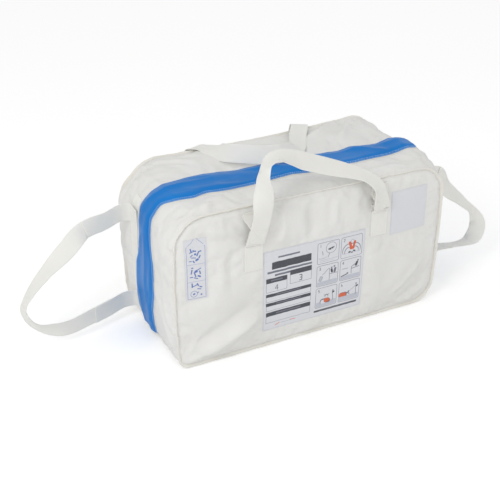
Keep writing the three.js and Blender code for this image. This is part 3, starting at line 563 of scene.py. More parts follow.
def strap_rows(node_name):
    gauge = copy_solid(node_name, f"gauge_{node_name}")
    points = points_of(gauge)
    edges = np.array([edge.vertices[:] for edge in gauge.data.edges])
    bpy.data.objects.remove(gauge)
    lengths = np.linalg.norm(points[edges[:, 0]] - points[edges[:, 1]], axis=1)
    middles = points[edges[np.abs(lengths - WEBBING_THICKNESS) < 0.03 * MM]].mean(axis=1)
    gaps = np.abs(np.linalg.norm(middles[:, None] - middles[None], axis=2) - WEBBING_WIDTH)
    mate = gaps.argmin(axis=1)
    pairs = [(i, j) for i, j in enumerate(mate) if i < j and mate[j] == i and gaps[i, j] < 0.08 * MM]
    centres = np.array([(middles[i] + middles[j]) / 2 for i, j in pairs])
    widths = np.array([middles[j] - middles[i] for i, j in pairs])
    order = shortest_chain(centres)
    centres, widths = centres[order], widths[order]
    for i in range(1, len(widths)):
        if widths[i] @ widths[i - 1] < 0:
            widths[i] *= -1
    return centres, widths / np.linalg.norm(widths, axis=1)[:, None]


def shortest_chain(centres):
    gaps = np.linalg.norm(centres[:, None] - centres[None], axis=2)
    best = None
    for start in range(len(centres)):
        order, left, length = [start], set(range(len(centres))) - {start}, 0
        while left:
            step = min(left, key=lambda i: gaps[order[-1], i])
            length += gaps[order[-1], step]
            order.append(step)
            left.remove(step)
        if best is None or length < best[0]:
            best = (length, order)
    return best[1]


# %% Lay webbing along a line
def spline_through(points, step):
    points = np.asarray(points)
    padded = np.vstack([2 * points[0] - points[1], points, 2 * points[-1] - points[-2]])
    made = []
    for a, b, c, d in zip(padded, padded[1:], padded[2:], padded[3:]):
        count = max(1, round(np.linalg.norm(c[:3] - b[:3]) / step))
        for t in np.arange(count) / count:
            curve = (2 * a - 5 * b + 4 * c - d) * t**2 + (3 * b - a - 3 * c + d) * t**3
            made.append(0.5 * (2 * b + (c - a) * t + curve))
    return np.array(made + [points[-1]])


def lay_webbing(name, centres, widths, step=3 * MM, columns=10, thickness=WEBBING_THICKNESS):
    line = spline_through(np.hstack([centres, widths]), step)
    centres, widths = line[:, :3], line[:, 3:] / np.linalg.norm(line[:, 3:], axis=1)[:, None]
    along = np.concatenate([[0], np.cumsum(np.linalg.norm(np.diff(centres, axis=0), axis=1))])
    bpy.ops.object.select_all(action="DESELECT")
    bpy.ops.mesh.primitive_grid_add(x_subdivisions=len(centres) - 1, y_subdivisions=columns, size=1)
    strap = bpy.context.object
    strap.name = strap.data.name = name
    flat = points_of(strap)
    row = np.rint((flat[:, 0] + 0.5) * (len(centres) - 1)).astype(int)
    side = flat[:, 1] * (WEBBING_WIDTH - thickness * 0.4)
    move_points(strap, centres[row] + widths[row] * side[:, None])
    weave = strap.data.uv_layers[0]
    weave.name = "weave"
    corner_points = [loop.vertex_index for loop in strap.data.loops]
    spots = np.stack([along[row[corner_points]], side[corner_points]], axis=1) / MM
    weave.data.foreach_set("uv", spots.ravel())
    apply_modifier(strap, "SOLIDIFY", thickness=thickness, offset=0, use_even_offset=True)
    edge_angle = math.radians(60)
    apply_modifier(strap, "BEVEL", width=0.45 * MM, segments=2, limit_method="ANGLE", angle_limit=edge_angle)
    smooth_shade(strap, 55)
    return strap


def along_body(node_name, centres, widths, face, axis, limit, lift, step=6 * MM):
    out, side = FACE_AXES[face][2:]
    if side * centres[0][out] > side * centres[-1][out]:
        centres, widths = centres[::-1], widths[::-1]
    inwards = np.zeros(3)
    inwards[out] = -side
    added = []
    way = np.sign(limit - centres[0][axis])
    place = centres[0][axis] + way * step
    while way * (limit - place) > 0:
        start = centres[0].copy()
        start[axis] = place
        start[out] = side * CLEAR_OF_BAG
        hit = body_surface.ray_cast(Vector(start), Vector(inwards), 0.4)[0]
        start[out] = hit[out] + side * lift
        added.insert(0, start)
        place += way * step
    print(f"    {node_name} goes on by {len(added) * step / MM:.0f} mm")
    if not added:
        return centres, widths
    return np.vstack([added, centres]), np.vstack([[widths[0]] * len(added), widths])


# %% Every strap and tab
TAB_LIFT = 1.3 * MM
DOUBLE_TAB_LIFT = 3.4 * MM
STRAPS = ["front_handle", "rear_handle", "left_side_handle", "right_side_handle"]
STRAPS += [f"{place}_handle_tab_{hand}" for place in ("front", "rear") for hand in ("left", "right")]
STRAPS += [f"{hand}_{place}_tab" for hand in ("left", "right") for place in ("upper", "lower")]
strap_lines = {}
for node_name in STRAPS:
    strap_lines[node_name] = strap_rows(node_name)
    low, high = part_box(node_name)
    if "handle_tab" in node_name:
        face = "front" if "front" in node_name else "back"
        strap_lines[node_name] = along_body(node_name, *strap_lines[node_name], face, 2, high[2], TAB_LIFT)
    elif node_name.endswith("_tab"):
        face = node_name.split("_")[0]
        line = strap_lines[node_name]
        strap_lines[node_name] = along_body(node_name, *line, face, 1, low[1], DOUBLE_TAB_LIFT)
    strap = lay_webbing(f"webbing_{node_name}", *strap_lines[node_name])
    finish_piece(strap, "webbing", webbing_cloth, node_name)
    steps_along = np.linalg.norm(np.diff(strap_lines[node_name][0], axis=0), axis=1)
    print(f"    {len(steps_along) + 1} rows, {steps_along.sum():.3f} m long")

# %% End strips beside the flap
for hand in ("left", "right"):
    strip = f"{hand}_anchor_strip"
    finish_piece(sewn_patch(strip, hand, 1.8 * MM), "webbing", webbing_cloth, strip)

# %% [markdown]
# ## Bias tape round the panels
#
# The tape is folded over the seam, and gathers into small waves as it turns the corners. The solid already
# has the waves, so its copy only needs rounding by two subdivisions. The cloth moved when it was stuffed,
# so the tape's root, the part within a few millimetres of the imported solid, is drawn down into the cloth.
# Without that, slits of light show at the seam.

# %% Round the tape, with its root sewn into the cloth
packed_surface = node_tree_of("packed_body")[0]


ROOT_DEPTH = 2.5 * MM
LEAST_HEIGHT = 0.2 * MM


def sew_into_body(points):
    root = 1 - fade(distance_to(packed_surface, points), 1.2 * MM, 5.5 * MM)
    for i in np.nonzero(root > 0.02)[0]:
        place, outward = body_surface.find_nearest(Vector(points[i]), 0.03)[:2]
        if place is not None:
            sewn = np.array(place - outward * ROOT_DEPTH)
            points[i] += (sewn - points[i]) * root[i]
    return points


for place in ("front", "rear"):
    tape = copy_solid(f"{place}_binding", f"{place}_edge_tape")
    apply_modifier(tape, "SUBSURF", levels=2, render_levels=2)
    points = points_of(tape)
    normals = np.empty(len(points) * 3)
    tape.data.vertices.foreach_get("normal", normals)
    swell = 0.5 + 0.9 * wander(points, 9 * MM, 6)
    points = sew_into_body(points + normals.reshape(-1, 3) * (swell * MM)[:, None])
    points[:, 2] = np.maximum(points[:, 2], LEAST_HEIGHT)
    move_points(tape, points)
    smooth_shade(tape, 80)
    finish_piece(tape, "binding_tape", edge_tape, f"{place}_binding")

# %% [markdown]
# ## The blue closure flap
#
# The flap is one long strip of glossy cloth. Rays thrown inwards on its solid find both of its edges all
# the way over the bag, a grid is laid between them, and slack folds are carved into it. A cloth run could
# make the folds, but it would also pull the edges out of the line that the photograph shows. The edges are
# then laid down on the bag, so that no gap shows under them, and the middle keeps its swell. A grid also
# gives clean rows for the stitching, which follows the front edge twice, and for the rolled hem.

# %% Find the flap's edges all the way over
CORNER = 0.078
flap_tree = node_tree_of("closure_flap")[0]


def over_the_bag(way):
    side, top, arc = HEIGHT - CORNER, 2 * (HALF_LENGTH - CORNER), CORNER * math.pi / 2
    if way < side:
        return (-HALF_LENGTH, way), (-1, 0)
    way -= side
    if way < arc:
        turn = math.pi - way / CORNER
        nx, nz = math.cos(turn), math.sin(turn)
        return (-HALF_LENGTH + CORNER + CORNER * nx, side + CORNER * nz), (nx, nz)
    way -= arc
    if way < top:
        return (-HALF_LENGTH + CORNER + way, HEIGHT), (0, 1)
    way -= top
    if way < arc:
        turn = math.pi / 2 - way / CORNER
        nx, nz = math.cos(turn), math.sin(turn)
        return (HALF_LENGTH - CORNER + CORNER * nx, side + CORNER * nz), (nx, nz)
    return (HALF_LENGTH, side - (way - arc)), (1, 0)


WHOLE_WAY = 2 * (HEIGHT - CORNER) + 2 * (HALF_LENGTH - CORNER) + CORNER * math.pi


def flap_hit(way, y):
    (x, z), (nx, nz) = over_the_bag(way)
    start = Vector((x + 0.09 * nx, y, z + 0.09 * nz))
    hit = flap_tree.ray_cast(start, Vector((-nx, 0, -nz)), 0.14)
    return hit[0]


FLAP_STEP = 4 * MM
ways = np.arange(14 * MM, WHOLE_WAY - 19 * MM, FLAP_STEP)
edges = []
for way in ways:
    hits = [y for y in np.arange(-0.115, 0.1, 1.5 * MM) if flap_hit(way, y) is not None]
    edges.append((min(hits), max(hits)))
edges = np.array(edges)
kernel = np.hanning(9) / np.hanning(9).sum()
padded_edges = [np.pad(column, 4, mode="edge") for column in edges.T]
edges = np.stack([np.convolve(column, kernel, "valid") for column in padded_edges], axis=1)
flap_widths = edges[:, 1] - edges[:, 0]
print(f"flap width from {flap_widths.min():.3f} to {flap_widths.max():.3f} m")

# %% Lay the flap
FLAP_COLUMNS = 30


def flap_surface_point(way, y, low, high):
    inset = min(max(y, low + 1 * MM), high - 1 * MM)
    hit = flap_hit(way, inset)
    while hit is None:
        inset = inset * 0.98 + 0.02 * (low + high) / 2
        hit = flap_hit(way, inset)
    return np.array([hit[0], y, hit[2]])


bpy.ops.object.select_all(action="DESELECT")
bpy.ops.mesh.primitive_grid_add(x_subdivisions=len(ways) - 1, y_subdivisions=FLAP_COLUMNS, size=1)
flap = bpy.context.object
flap.name = flap.data.name = "blue_flap"
flat = points_of(flap)
row = np.rint((flat[:, 0] + 0.5) * (len(ways) - 1)).astype(int)
share = flat[:, 1] + 0.5
sides = np.round(share)
waves = [noise.noise(Vector((way / 0.03, side * 9.1, 0))) for way, side in zip(ways[row], sides)]
scallop = 1.6 * MM * np.array(waves) * np.abs(2 * share - 1) ** 3
across = edges[row, 0] + share * flap_widths[row] + scallop
points = np.array([flap_surface_point(ways[i], y, *edges[i]) for i, y in zip(row, across)])
outward = np.array([over_the_bag(ways[i])[1] for i in row])
outward = np.stack([outward[:, 0], np.zeros(len(row)), outward[:, 1]], axis=1)
place = np.stack([ways[row], across, np.zeros(len(row))], axis=1)
diagonal = place @ np.array([[1, 0.35, 0], [-0.8, 1, 0], [0, 0, 1]])
folds = np.array([1 - 2.2 * abs(noise.noise(Vector((p[0] / 0.21, p[1] / 0.058, 2.2)))) for p in diagonal])
fine_folds = np.array([noise.noise(Vector((p[0] / 0.07, p[1] / 0.022, 5.1))) for p in diagonal])
gather = np.array([noise.noise(Vector((p[0] / 0.017, p[1] / 0.05, 8.8))) for p in place])
near_edge = np.minimum(share, 1 - share) * flap_widths[row]
relief = (4.5 * folds + 0.9 * fine_folds) * MM * fade(near_edge, 5 * MM, 32 * MM)
relief += 0.8 * MM * gather * np.exp(-near_edge / (12 * MM))
points += outward * (relief * fade(near_edge, 0, 9 * MM))[:, None]

# %% Lay its edges down on the bag, and give it its thickness
EDGE_LIFT = 0.7 * MM
lie_down = fade(near_edge, 1 * MM, 20 * MM)
for i, (point, out, rise) in enumerate(zip(points, outward, lie_down)):
    hit = body_surface.ray_cast(Vector(point + 0.03 * out), Vector(-out), 0.06)[0]
    if hit is not None:
        height = (point - np.array(hit)) @ out
        points[i] = np.array(hit) + out * (EDGE_LIFT + max(height - EDGE_LIFT, 0) * rise)
move_points(flap, points)
if sum(polygon.normal.z for polygon in flap.data.polygons) < 0:
    flap.data.flip_normals()
apply_modifier(
    flap, "SHRINKWRAP", target=body, wrap_method="NEAREST_SURFACEPOINT", wrap_mode="OUTSIDE",
    offset=0.5 * MM,
)
flap_points, flap_rows = points_of(flap), row
apply_modifier(flap, "SOLIDIFY", thickness=0.8 * MM, offset=-1)
smooth_shade(flap, 80)
finish_piece(flap, "flap_cloth", blue_cloth, "closure_flap")

# %% [markdown]
# ## Stitching
#
# Thread shows as short grains with gaps between. One grain is made from a low sphere, and copies of its
# points are set along a line that lies on the cloth. Thousands of copied objects would be slow to join, so
# each thread's mesh is built at once from its points. Two rows run beside the flap's front edge, and every
# patch and strap end has a box with a cross in it, which is how load-bearing webbing is sewn. The hem is a
# row of fat, close grains: they touch, and read as a rolled and gathered edge.


# %% One grain of thread, and a row of them
bpy.ops.object.select_all(action="DESELECT")
bpy.ops.mesh.primitive_uv_sphere_add(segments=6, ring_count=4, radius=0.5)
grain = bpy.context.object
grain_points = points_of(grain)
grain_faces = [polygon.vertices[:] for polygon in grain.data.polygons]
bpy.data.objects.remove(grain)


def evenly_along(points, pitch):
    points = np.asarray(points)
    reach = np.concatenate([[0], np.cumsum(np.linalg.norm(np.diff(points, axis=0), axis=1))])
    places = np.arange(pitch / 2, reach[-1], pitch)
    return np.stack([np.interp(places, reach, column) for column in points.T], axis=1)


def thread(name, rows, material, slot, pitch=3.6 * MM, length=2.7 * MM, width=0.8 * MM, height=0.6 * MM):
    points, faces = [], []
    for line, outward in rows:
        spots = evenly_along(line, pitch)
        if len(spots) < 2:
            continue
        ways_on = np.gradient(spots, axis=0)
        for spot, on in zip(spots, ways_on):
            on = on / np.linalg.norm(on)
            out = np.asarray(outward(spot) if callable(outward) else outward, dtype=float)
            out = out - on * (out @ on)
            out /= np.linalg.norm(out)
            turn = np.array([on * length, np.cross(out, on) * width, out * height])
            faces += [tuple(index + len(points) for index in face) for face in grain_faces]
            points += list(spot + grain_points @ turn)
    mesh = bpy.data.meshes.new(name)
    mesh.from_pydata([tuple(point) for point in points], [], faces)
    piece = bpy.data.objects.new(name, mesh)
    bpy.context.collection.objects.link(piece)
    smooth_shade(piece, 180)
    finish_piece(piece, slot, material)
    return piece


# %% Two rows beside the flap's front edge
def flap_line(inset):
    line = []
    for i in range(len(ways)):
        members = np.nonzero(flap_rows == i)[0]
        members = members[np.argsort(flap_points[members, 1])]
        target = flap_points[members[0], 1] + inset
        column = [np.interp(target, flap_points[members, 1], flap_points[members, k]) for k in range(3)]
        nx, nz = over_the_bag(ways[i])[1]
        line.append(np.array([column[0], target, column[2]]) + 0.25 * MM * np.array([nx, 0, nz]))
    return np.array(line)


def away_from_middle(spot):
    return (spot[0] / HALF_LENGTH**2, 0, (spot[2] - HEIGHT / 2) / (HEIGHT / 2) ** 2)


flap_thread = thread(
    "flap_thread", [(flap_line(inset), away_from_middle) for inset in (5 * MM, 9 * MM)],
    blue_edge_thread, "flap_cloth", pitch=5 * MM, length=3.7 * MM, width=1.1 * MM, height=1.4 * MM,
)
flap_hem = thread(
    "flap_hem", [(flap_line(0.4 * MM), away_from_middle)],
    edge_tape, "flap_cloth", pitch=2.5 * MM, length=4 * MM, width=2.6 * MM, height=2.4 * MM,
)


# %% A box with a cross, on any sheet given by four corners
def box_cross(corners):
    a, b, c, d = [np.asarray(corner) for corner in corners]
    return [np.linspace(p, q, 12) for p, q in ((a, b), (b, c), (c, d), (d, a), (a, c), (b, d))]


def on_body(lines, face, lift):
    across, up, out, side = FACE_AXES[face]
    direction = np.zeros(3)
    direction[out] = -side
    rows = []
    for line in lines:
        row = []
        for point in line:
            start = point.copy()
            start[out] = side * CLEAR_OF_BAG
            hit = body_surface.ray_cast(Vector(start), Vector(direction), 0.5)[0]
            if hit is not None:
                row.append(np.array(hit) - direction * lift)
        if len(row) > 2:
            rows.append((np.array(row), -direction))
    return rows


def patch_corners(node_name, face, inset):
    low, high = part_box(node_name)
    across, up, out, side = FACE_AXES[face]
    corners = []
    for a, b in ((0, 0), (1, 0), (1, 1), (0, 1)):
        point = np.zeros(3)
        point[across] = (high[across] - inset) if a else (low[across] + inset)
        point[up] = (high[up] - inset) if b else (low[up] + inset)
        corners.append(point)
    return corners


STITCH_INSET = 5 * MM
patch_rows = []
for place, face in (("front", "front"), ("rear", "back")):
    for hand in ("left", "right"):
        corners = patch_corners(f"{place}_handle_patch_{hand}", face, STITCH_INSET)
        patch_rows += on_body(box_cross(corners), face, 2.1 * MM)
thread("patch_thread", patch_rows, white_thread, "webbing")


# %% A box with a cross at each end of a strap, on both of its sides
def strap_box(node_name, start, length, lift):
    centres, widths = strap_lines[node_name]
    if start < 0:
        centres, widths = centres[::-1], widths[::-1]
        start = -start
    reach = np.concatenate([[0], np.cumsum(np.linalg.norm(np.diff(centres, axis=0), axis=1))])
    half = WEBBING_WIDTH / 2 - STITCH_INSET

    def at(distance, side):
        centre = np.array([np.interp(distance, reach, column) for column in centres.T])
        width = np.array([np.interp(distance, reach, column) for column in widths.T])
        before = np.array([np.interp(distance + 3 * MM, reach, column) for column in centres.T])
        out = np.cross(before - centre, width)
        return centre + side * half * width + lift * out / np.linalg.norm(out), lift * out

    rows = []
    ends = ((0, -1), (0, 1), (1, 1), (1, -1))
    for i, j in ((0, 1), (1, 2), (2, 3), (3, 0), (0, 2), (1, 3)):
        (s0, w0), (s1, w1) = ends[i], ends[j]
        shares = np.linspace(0, 1, 12)
        places = [(start + length * (s0 + (s1 - s0) * t), w0 + (w1 - w0) * t) for t in shares]
        line = np.array([at(*place)[0] for place in places])
        rows.append((line, at(*places[5])[1]))
    return rows


# strap, start from its end, length of the box
STRAP_BOXES = [
    ("front_handle", 5 * MM, 36 * MM),
    ("rear_handle", 5 * MM, 36 * MM),
    ("left_side_handle", 6 * MM, 46 * MM),
    ("right_side_handle", 6 * MM, 46 * MM),
]
strap_rows_of_thread = []
for node_name, inset, length in STRAP_BOXES:
    for start in (inset, -inset):
        for lift in (1.1 * MM, -1.1 * MM):
            strap_rows_of_thread += strap_box(node_name, start, length, lift)
thread("strap_thread", strap_rows_of_thread, white_thread, "webbing")

# %% [markdown]
# ## Printed labels
#
# The print is rebuilt as flat fields of colour on a film: bars, rounded frames, discs and short strokes.
# It could be thin raised shapes, but those would catch the light as print never does. Each mark is a
# rounded box in the label's own millimetres, and one small group of nodes tests whether a point lies
# inside it. Marks are painted in order, so a frame is a dark box with a pale one inside.

# %% Marks made of nodes
PAPER = (0.7, 0.71, 0.745, 1)
GREY = (0.06, 0.063, 0.08, 1)
MID_GREY = (0.17, 0.18, 0.22, 1)
PALE_GREY = (0.52, 0.54, 0.6, 1)
ORANGE = (0.66, 0.13, 0.055, 1)
BLUE_INK = (0.1, 0.17, 0.45, 1)


def mark(tree, place, colour, ink, centre, size, radius=0.0, turn=0.0):
    spot = node(tree, "ShaderNodeVectorMath", {0: place, 1: (*centre, 0)}, operation="SUBTRACT").outputs[0]
    if turn:
        turned = {"Vector": spot, "Angle": -math.radians(turn)}
        spot = node(tree, "ShaderNodeVectorRotate", turned, rotation_type="Z_AXIS").outputs[0]
    spot = node(tree, "ShaderNodeVectorMath", {0: spot}, operation="ABSOLUTE").outputs[0]
    core = (size[0] / 2 - radius, size[1] / 2 - radius, 0)
    spot = node(tree, "ShaderNodeVectorMath", {0: spot, 1: core}, operation="SUBTRACT").outputs[0]
    spot = node(tree, "ShaderNodeVectorMath", {0: spot, 1: (0, 0, 0)}, operation="MAXIMUM").outputs[0]
    length = node(tree, "ShaderNodeVectorMath", {0: spot}, operation="LENGTH").outputs["Value"]
    edge = {0: length, 1: radius + 0.35, 2: radius - 0.35, 3: 0.0, 4: 1.0}
    share = node(tree, "ShaderNodeMapRange", edge).outputs[0]
    return blend_colour(tree, share, colour, ink)


def printed_film(name, node_name, marks):
    material, tree, shader = new_material(name)
    low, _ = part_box(node_name)
    place = node(tree, "ShaderNodeSeparateXYZ", {0: object_place(tree)})
    across = node(tree, "ShaderNodeMath", {0: place.outputs[0], 1: -low[0]}, operation="ADD").outputs[0]
    up = node(tree, "ShaderNodeMath", {0: place.outputs[2], 1: -low[2]}, operation="ADD").outputs[0]
    flat = node(tree, "ShaderNodeCombineXYZ", {0: across, 1: up, 2: 0.0}).outputs[0]
    flat = node(tree, "ShaderNodeVectorMath", {0: flat, "Scale": 1000.0}, operation="SCALE").outputs[0]
    shader.inputs["Base Color"].default_value = PAPER
    colour = PAPER
    for ink, centre, size, *rest in marks:
        colour = mark(tree, flat, colour, ink, centre, size, *rest)
    if marks:
        tree.links.new(colour, shader.inputs["Base Color"])
    ripple = node(tree, "ShaderNodeTexNoise", {"Vector": object_place(tree), "Scale": 26.0, "Detail": 3.0})
    bump(tree, shader, [(ripple.outputs[0], 1.2 * MM)])
    shader.inputs["Roughness"].default_value = 0.42
    shader.inputs["Coat Weight"].default_value = 0.15
    return material


def frame_marks(centre, size, radius, ink, line, inner=PAPER):
    inner_size = (size[0] - 2 * line, size[1] - 2 * line)
    return [(ink, centre, size, radius), (inner, centre, inner_size, max(radius - line, 0.5))]


# %% The pictures on the main label
# ink, place from the picture's middle, size, corner radius, turn in degrees
PICTURES = {
    (0, 0): [
        (MID_GREY, (8, 11), (31, 31), 15.4), (PAPER, (8, 11), (29, 29), 14.4),
        (GREY, (8, 10), (19, 2.6), 1, 12), (GREY, (5, 7.5), (7, 4), 1.5), (GREY, (12, 9), (5, 4), 1.5),
        (PALE_GREY, (-16, -12), (24, 8), 4), (PAPER, (-16, -10.5), (22, 6), 3),
        (MID_GREY, (-16, 0), (1.4, 12), 0.6, 12), (MID_GREY, (2, -9), (1.4, 14), 0.6, -20),
        (PALE_GREY, (2, -20), (54, 1.6), 0.6), (PALE_GREY, (-4, -24), (40, 1.4), 0.6),
    ],
    (1, 0): [
        (MID_GREY, (0, -10), (54, 38), 18), (PAPER, (0, -11), (51, 36), 17),
        (MID_GREY, (0, -14), (42, 26), 12), (PAPER, (0, -15), (39, 24), 11),
        (PAPER, (0, -24), (56, 10), 1), (PALE_GREY, (0, -18), (50, 1.5), 0.6),
        (ORANGE, (-3.5, 3), (7, 24), 3, 16), (ORANGE, (6.5, 3), (7, 24), 3, -16),
        (ORANGE, (1.5, -4), (15, 9), 3), (MID_GREY, (1.5, 14), (9.6, 11.6), 4.7),
        (PAPER, (1.5, 14), (8, 10), 3.9), (GREY, (-6, -15), (7, 4), 1.8, 20),
        (GREY, (8, -14), (8, 4), 1.8, -20), (GREY, (1, -17), (6, 3), 1.2),
    ],
    (0, 1): [
        (PALE_GREY, (0, -22), (58, 11), 2), (MID_GREY, (-19, -8), (9, 14), 3, -25),
        (PALE_GREY, (-19, -8), (7, 12), 2, -25), (MID_GREY, (-5, 10), (26, 1.2), 0.5, 38),
        (MID_GREY, (6, 0), (1.3, 34), 0.5), (MID_GREY, (18, 1), (22, 1.4), 0.5),
        (GREY, (13, 9), (6, 12), 2.5, 10), (MID_GREY, (22, 9), (6, 14), 2.5, -14),
        (MID_GREY, (12, 18), (5, 5), 2.4), (MID_GREY, (20, 20), (5, 5), 2.4),
    ],
    (1, 1): [
        (PALE_GREY, (0, -22), (58, 11), 2), (GREY, (-18, -15), (20, 2.4), 1, 12),
        (MID_GREY, (3, -4), (1.6, 22), 0.7), (MID_GREY, (15, 1), (24, 1.8), 0.7, 6),
        (GREY, (18, 11), (7, 14), 3, -20), (MID_GREY, (10, 9), (12, 2), 1, 30),
        (MID_GREY, (-16, 4), (18, 1.2), 0.5), (MID_GREY, (-8, -11), (5, 5), 2.4),
        (MID_GREY, (22, 20), (5, 5), 2.4),
    ],
    (0, 2): [
        (PALE_GREY, (0, -20), (58, 15), 2), (GREY, (-3, -13), (30, 17), 8),
        (PAPER, (-8, -14), (17, 13), 6), (ORANGE, (2, -11), (17, 12), 5),
        (PALE_GREY, (0, -23), (46, 9), 2), (MID_GREY, (1, 6), (17, 1.4), 0.6),
        (MID_GREY, (1, 2), (10, 8), 3), (PAPER, (1, 1), (7, 6), 2),
        (MID_GREY, (19, -2), (1.6, 26), 0.7, 4), (GREY, (21, 9), (7, 5), 2, 24),
        (MID_GREY, (19, 14), (4.5, 4.5), 2.2),
    ],
    (1, 2): [
        (PALE_GREY, (0, -20), (58, 15), 2), (GREY, (-18, -9), (24, 15), 6),
        (ORANGE, (-19, -9), (22, 13), 5), (PALE_GREY, (-18, -17), (26, 6), 1),
        (MID_GREY, (-3, -7), (13, 3), 1.4, -30), (MID_GREY, (-1, -3), (5, 5), 2.4),
        (MID_GREY, (10, 3), (26, 1), 0.4, 36), (MID_GREY, (21, -2), (1.6, 30), 0.7),
        (GREY, (24, 9), (7, 5), 2, 24), (MID_GREY, (21, 16), (4.5, 4.5), 2.2),
    ],
}
PICTURE_SIZE = (63, 60)
PICTURE_PITCH = (68.5, 65)
FIRST_PICTURE = (181.5, 186)


def picture(column, row_number):
    x = FIRST_PICTURE[0] + PICTURE_PITCH[0] * column
    y = FIRST_PICTURE[1] - PICTURE_PITCH[1] * row_number
    marks = frame_marks((x, y), PICTURE_SIZE, 5, MID_GREY, 1.1)
    for ink, (across, up), size, *rest in PICTURES[column, row_number]:
        marks.append((ink, (x + across, y + up), size, *rest))
    return marks


# %% Plain numerals
# short strokes: across, up, width, height and turn of each, in a cell one unit high
STROKES = {
    "1": [(0, 0, 0.12, 1, 0)],
    "2": [
        (0, 0.42, 0.5, 0.13, 0), (0.2, 0.22, 0.13, 0.4, 0), (-0.02, -0.12, 0.13, 0.62, -38),
        (0, -0.43, 0.5, 0.13, 0),
    ],
    "3": [
        (0, 0.43, 0.44, 0.13, 0), (0.2, 0.22, 0.13, 0.4, 0), (0.04, 0, 0.34, 0.12, 0),
        (0.2, -0.22, 0.13, 0.4, 0), (0, -0.43, 0.44, 0.13, 0),
    ],
    "4": [(-0.1, 0.12, 0.12, 0.72, -30), (0, -0.18, 0.6, 0.12, 0), (0.14, 0, 0.12, 1, 0)],
    "5": [
        (0.02, 0.43, 0.46, 0.13, 0), (-0.2, 0.22, 0.13, 0.44, 0), (0, 0.03, 0.42, 0.13, 0),
        (0.2, -0.2, 0.13, 0.4, 0), (0, -0.43, 0.44, 0.13, 0),
    ],
    "6": [
        (-0.18, 0.05, 0.13, 0.9, -10), (0, -0.43, 0.34, 0.13, 0), (0.2, -0.24, 0.13, 0.38, 0),
        (0.02, -0.03, 0.34, 0.12, 0),
    ],
}


def numeral(digit, centre, height, ink):
    marks = []
    for x, y, width, tall, turn in STROKES[digit]:
        place = (centre[0] + x * height, centre[1] + y * height)
        marks.append((ink, place, (width * height, tall * height), 0.05 * height, turn))
    return marks


def header_box(low, high, header):
    centre = ((low[0] + high[0]) / 2, (low[1] + high[1]) / 2)
    size = (high[0] - low[0], high[1] - low[1])
    top = (centre[0], high[1] - header / 2)
    marks = frame_marks(centre, size, 1.2, MID_GREY, 0.9)
    marks += [(GREY, top, (size[0], header), 0.8), (MID_GREY, top, (size[0] * 0.55, header * 0.28), 0.6)]
    return marks


# %% The main label
main_marks = frame_marks((144.5, 113.5), (286, 224), 2, PALE_GREY, 0.8)
main_marks += [
    (GREY, (78, 185), (110, 20), 1.5), (MID_GREY, (73, 168), (124, 5.5), 1),
    (MID_GREY, (78, 158), (94, 5.5), 1), (MID_GREY, (70, 206), (60, 4.5), 1),
]
main_marks += header_box((8, 112), (66, 151), 13) + header_box((74, 122), (135, 161), 14)[:3]
for low_edge, high_edge, header in ((84, 107, 9), (58, 81, 9), (22, 54, 12)):
    main_marks += header_box((8, low_edge), (135, high_edge), header)
main_marks += [
    (ORANGE, (42, 13), (14, 2), 1, 20), (PALE_GREY, (66, 14), (30, 1.8), 0.8),
    (ORANGE, (86, 15), (16, 1.8), 0.8),
]
for column in (0, 1):
    for row_number in (0, 1, 2):
        main_marks += picture(column, row_number)
main_marks += numeral("4", (37, 123), 15, MID_GREY) + numeral("3", (104, 134), 17, GREY)
for count, digit in enumerate("123456"):
    corner = (159 + PICTURE_PITCH[0] * (count % 2), 207 - PICTURE_PITCH[1] * (count // 2))
    main_marks += numeral(digit, corner, 8.5, GREY)
main_marks += [(GREY, (212, 17), (128, 6), 1), (MID_GREY, (212, 17), (96, 1.6), 0.6)]
main_film = printed_film("main_label_print", "main_label", main_marks)
print("marks on the main label", len(main_marks))
FILM_THICKNESS, FILM_LIFT = 0.5 * MM, 0.35 * MM
main_label = sewn_patch("main_label", "front", FILM_THICKNESS, 5 * MM, FILM_LIFT)
finish_piece(main_label, "printed_label", main_film, "main_label")

# %% The side label and the plain corner patch
side_marks = [(BLUE_INK, (27, 143), (30, 30), 0.5, 45), (PAPER, (27, 143), (28.4, 28.4), 0.4, 45)]
side_marks += frame_marks((27, 72), (45, 138), 1, BLUE_INK, 0.8)
side_marks += [
    (PAPER, (27, 142), (41, 6), 0.3), (BLUE_INK, (27, 95), (44, 0.8), 0),
    (BLUE_INK, (27, 49), (44, 0.8), 0),
]
# across, up, width, height and turn of each loose stroke
SIDE_STROKES = [
    (16, 132, 3, 9, 15), (24, 130, 9, 2.2, -30), (37, 128, 7, 3, 10), (26, 121, 5, 5, 0),
    (17, 118, 8, 2.4, 40), (36, 113, 3, 9, -25), (14, 104, 7, 2, 0), (22, 102, 3, 7, 30),
    (16, 76, 3, 12, -12), (27, 76, 7, 6, 20), (15, 62, 8, 2.4, 0), (26, 58, 11, 2.4, -25),
    (36, 72, 3, 10, 12), (16, 40, 3, 12, 0), (30, 40, 3, 9, 25), (37, 33, 7, 3, -20),
    (29, 18, 7, 2, 35), (20, 128, 16, 2.4, 20), (32, 122, 3, 14, -20), (22, 112, 12, 2, -10),
    (30, 106, 8, 5, 30), (18, 86, 5, 3, 0), (33, 80, 14, 2.2, 25), (24, 68, 3, 14, 15),
    (34, 62, 9, 4, -30), (22, 38, 16, 2.4, 20), (33, 28, 10, 2.2, -15), (38, 12, 4, 4, 0),
]
for x, y, w, h, turn in SIDE_STROKES:
    side_marks.append((BLUE_INK, (x, y), (w, h), 0.8, turn))
side_marks += [
    (BLUE_INK, (20, 16), (17, 17), 8.4), (PAPER, (20, 16), (15, 15), 7.4),
    (BLUE_INK, (20, 16), (6, 4), 1.5, 30),
]
side_film = printed_film("side_label_print", "side_label", side_marks)
plain_film = printed_film("plain_film", "corner_patch", [])
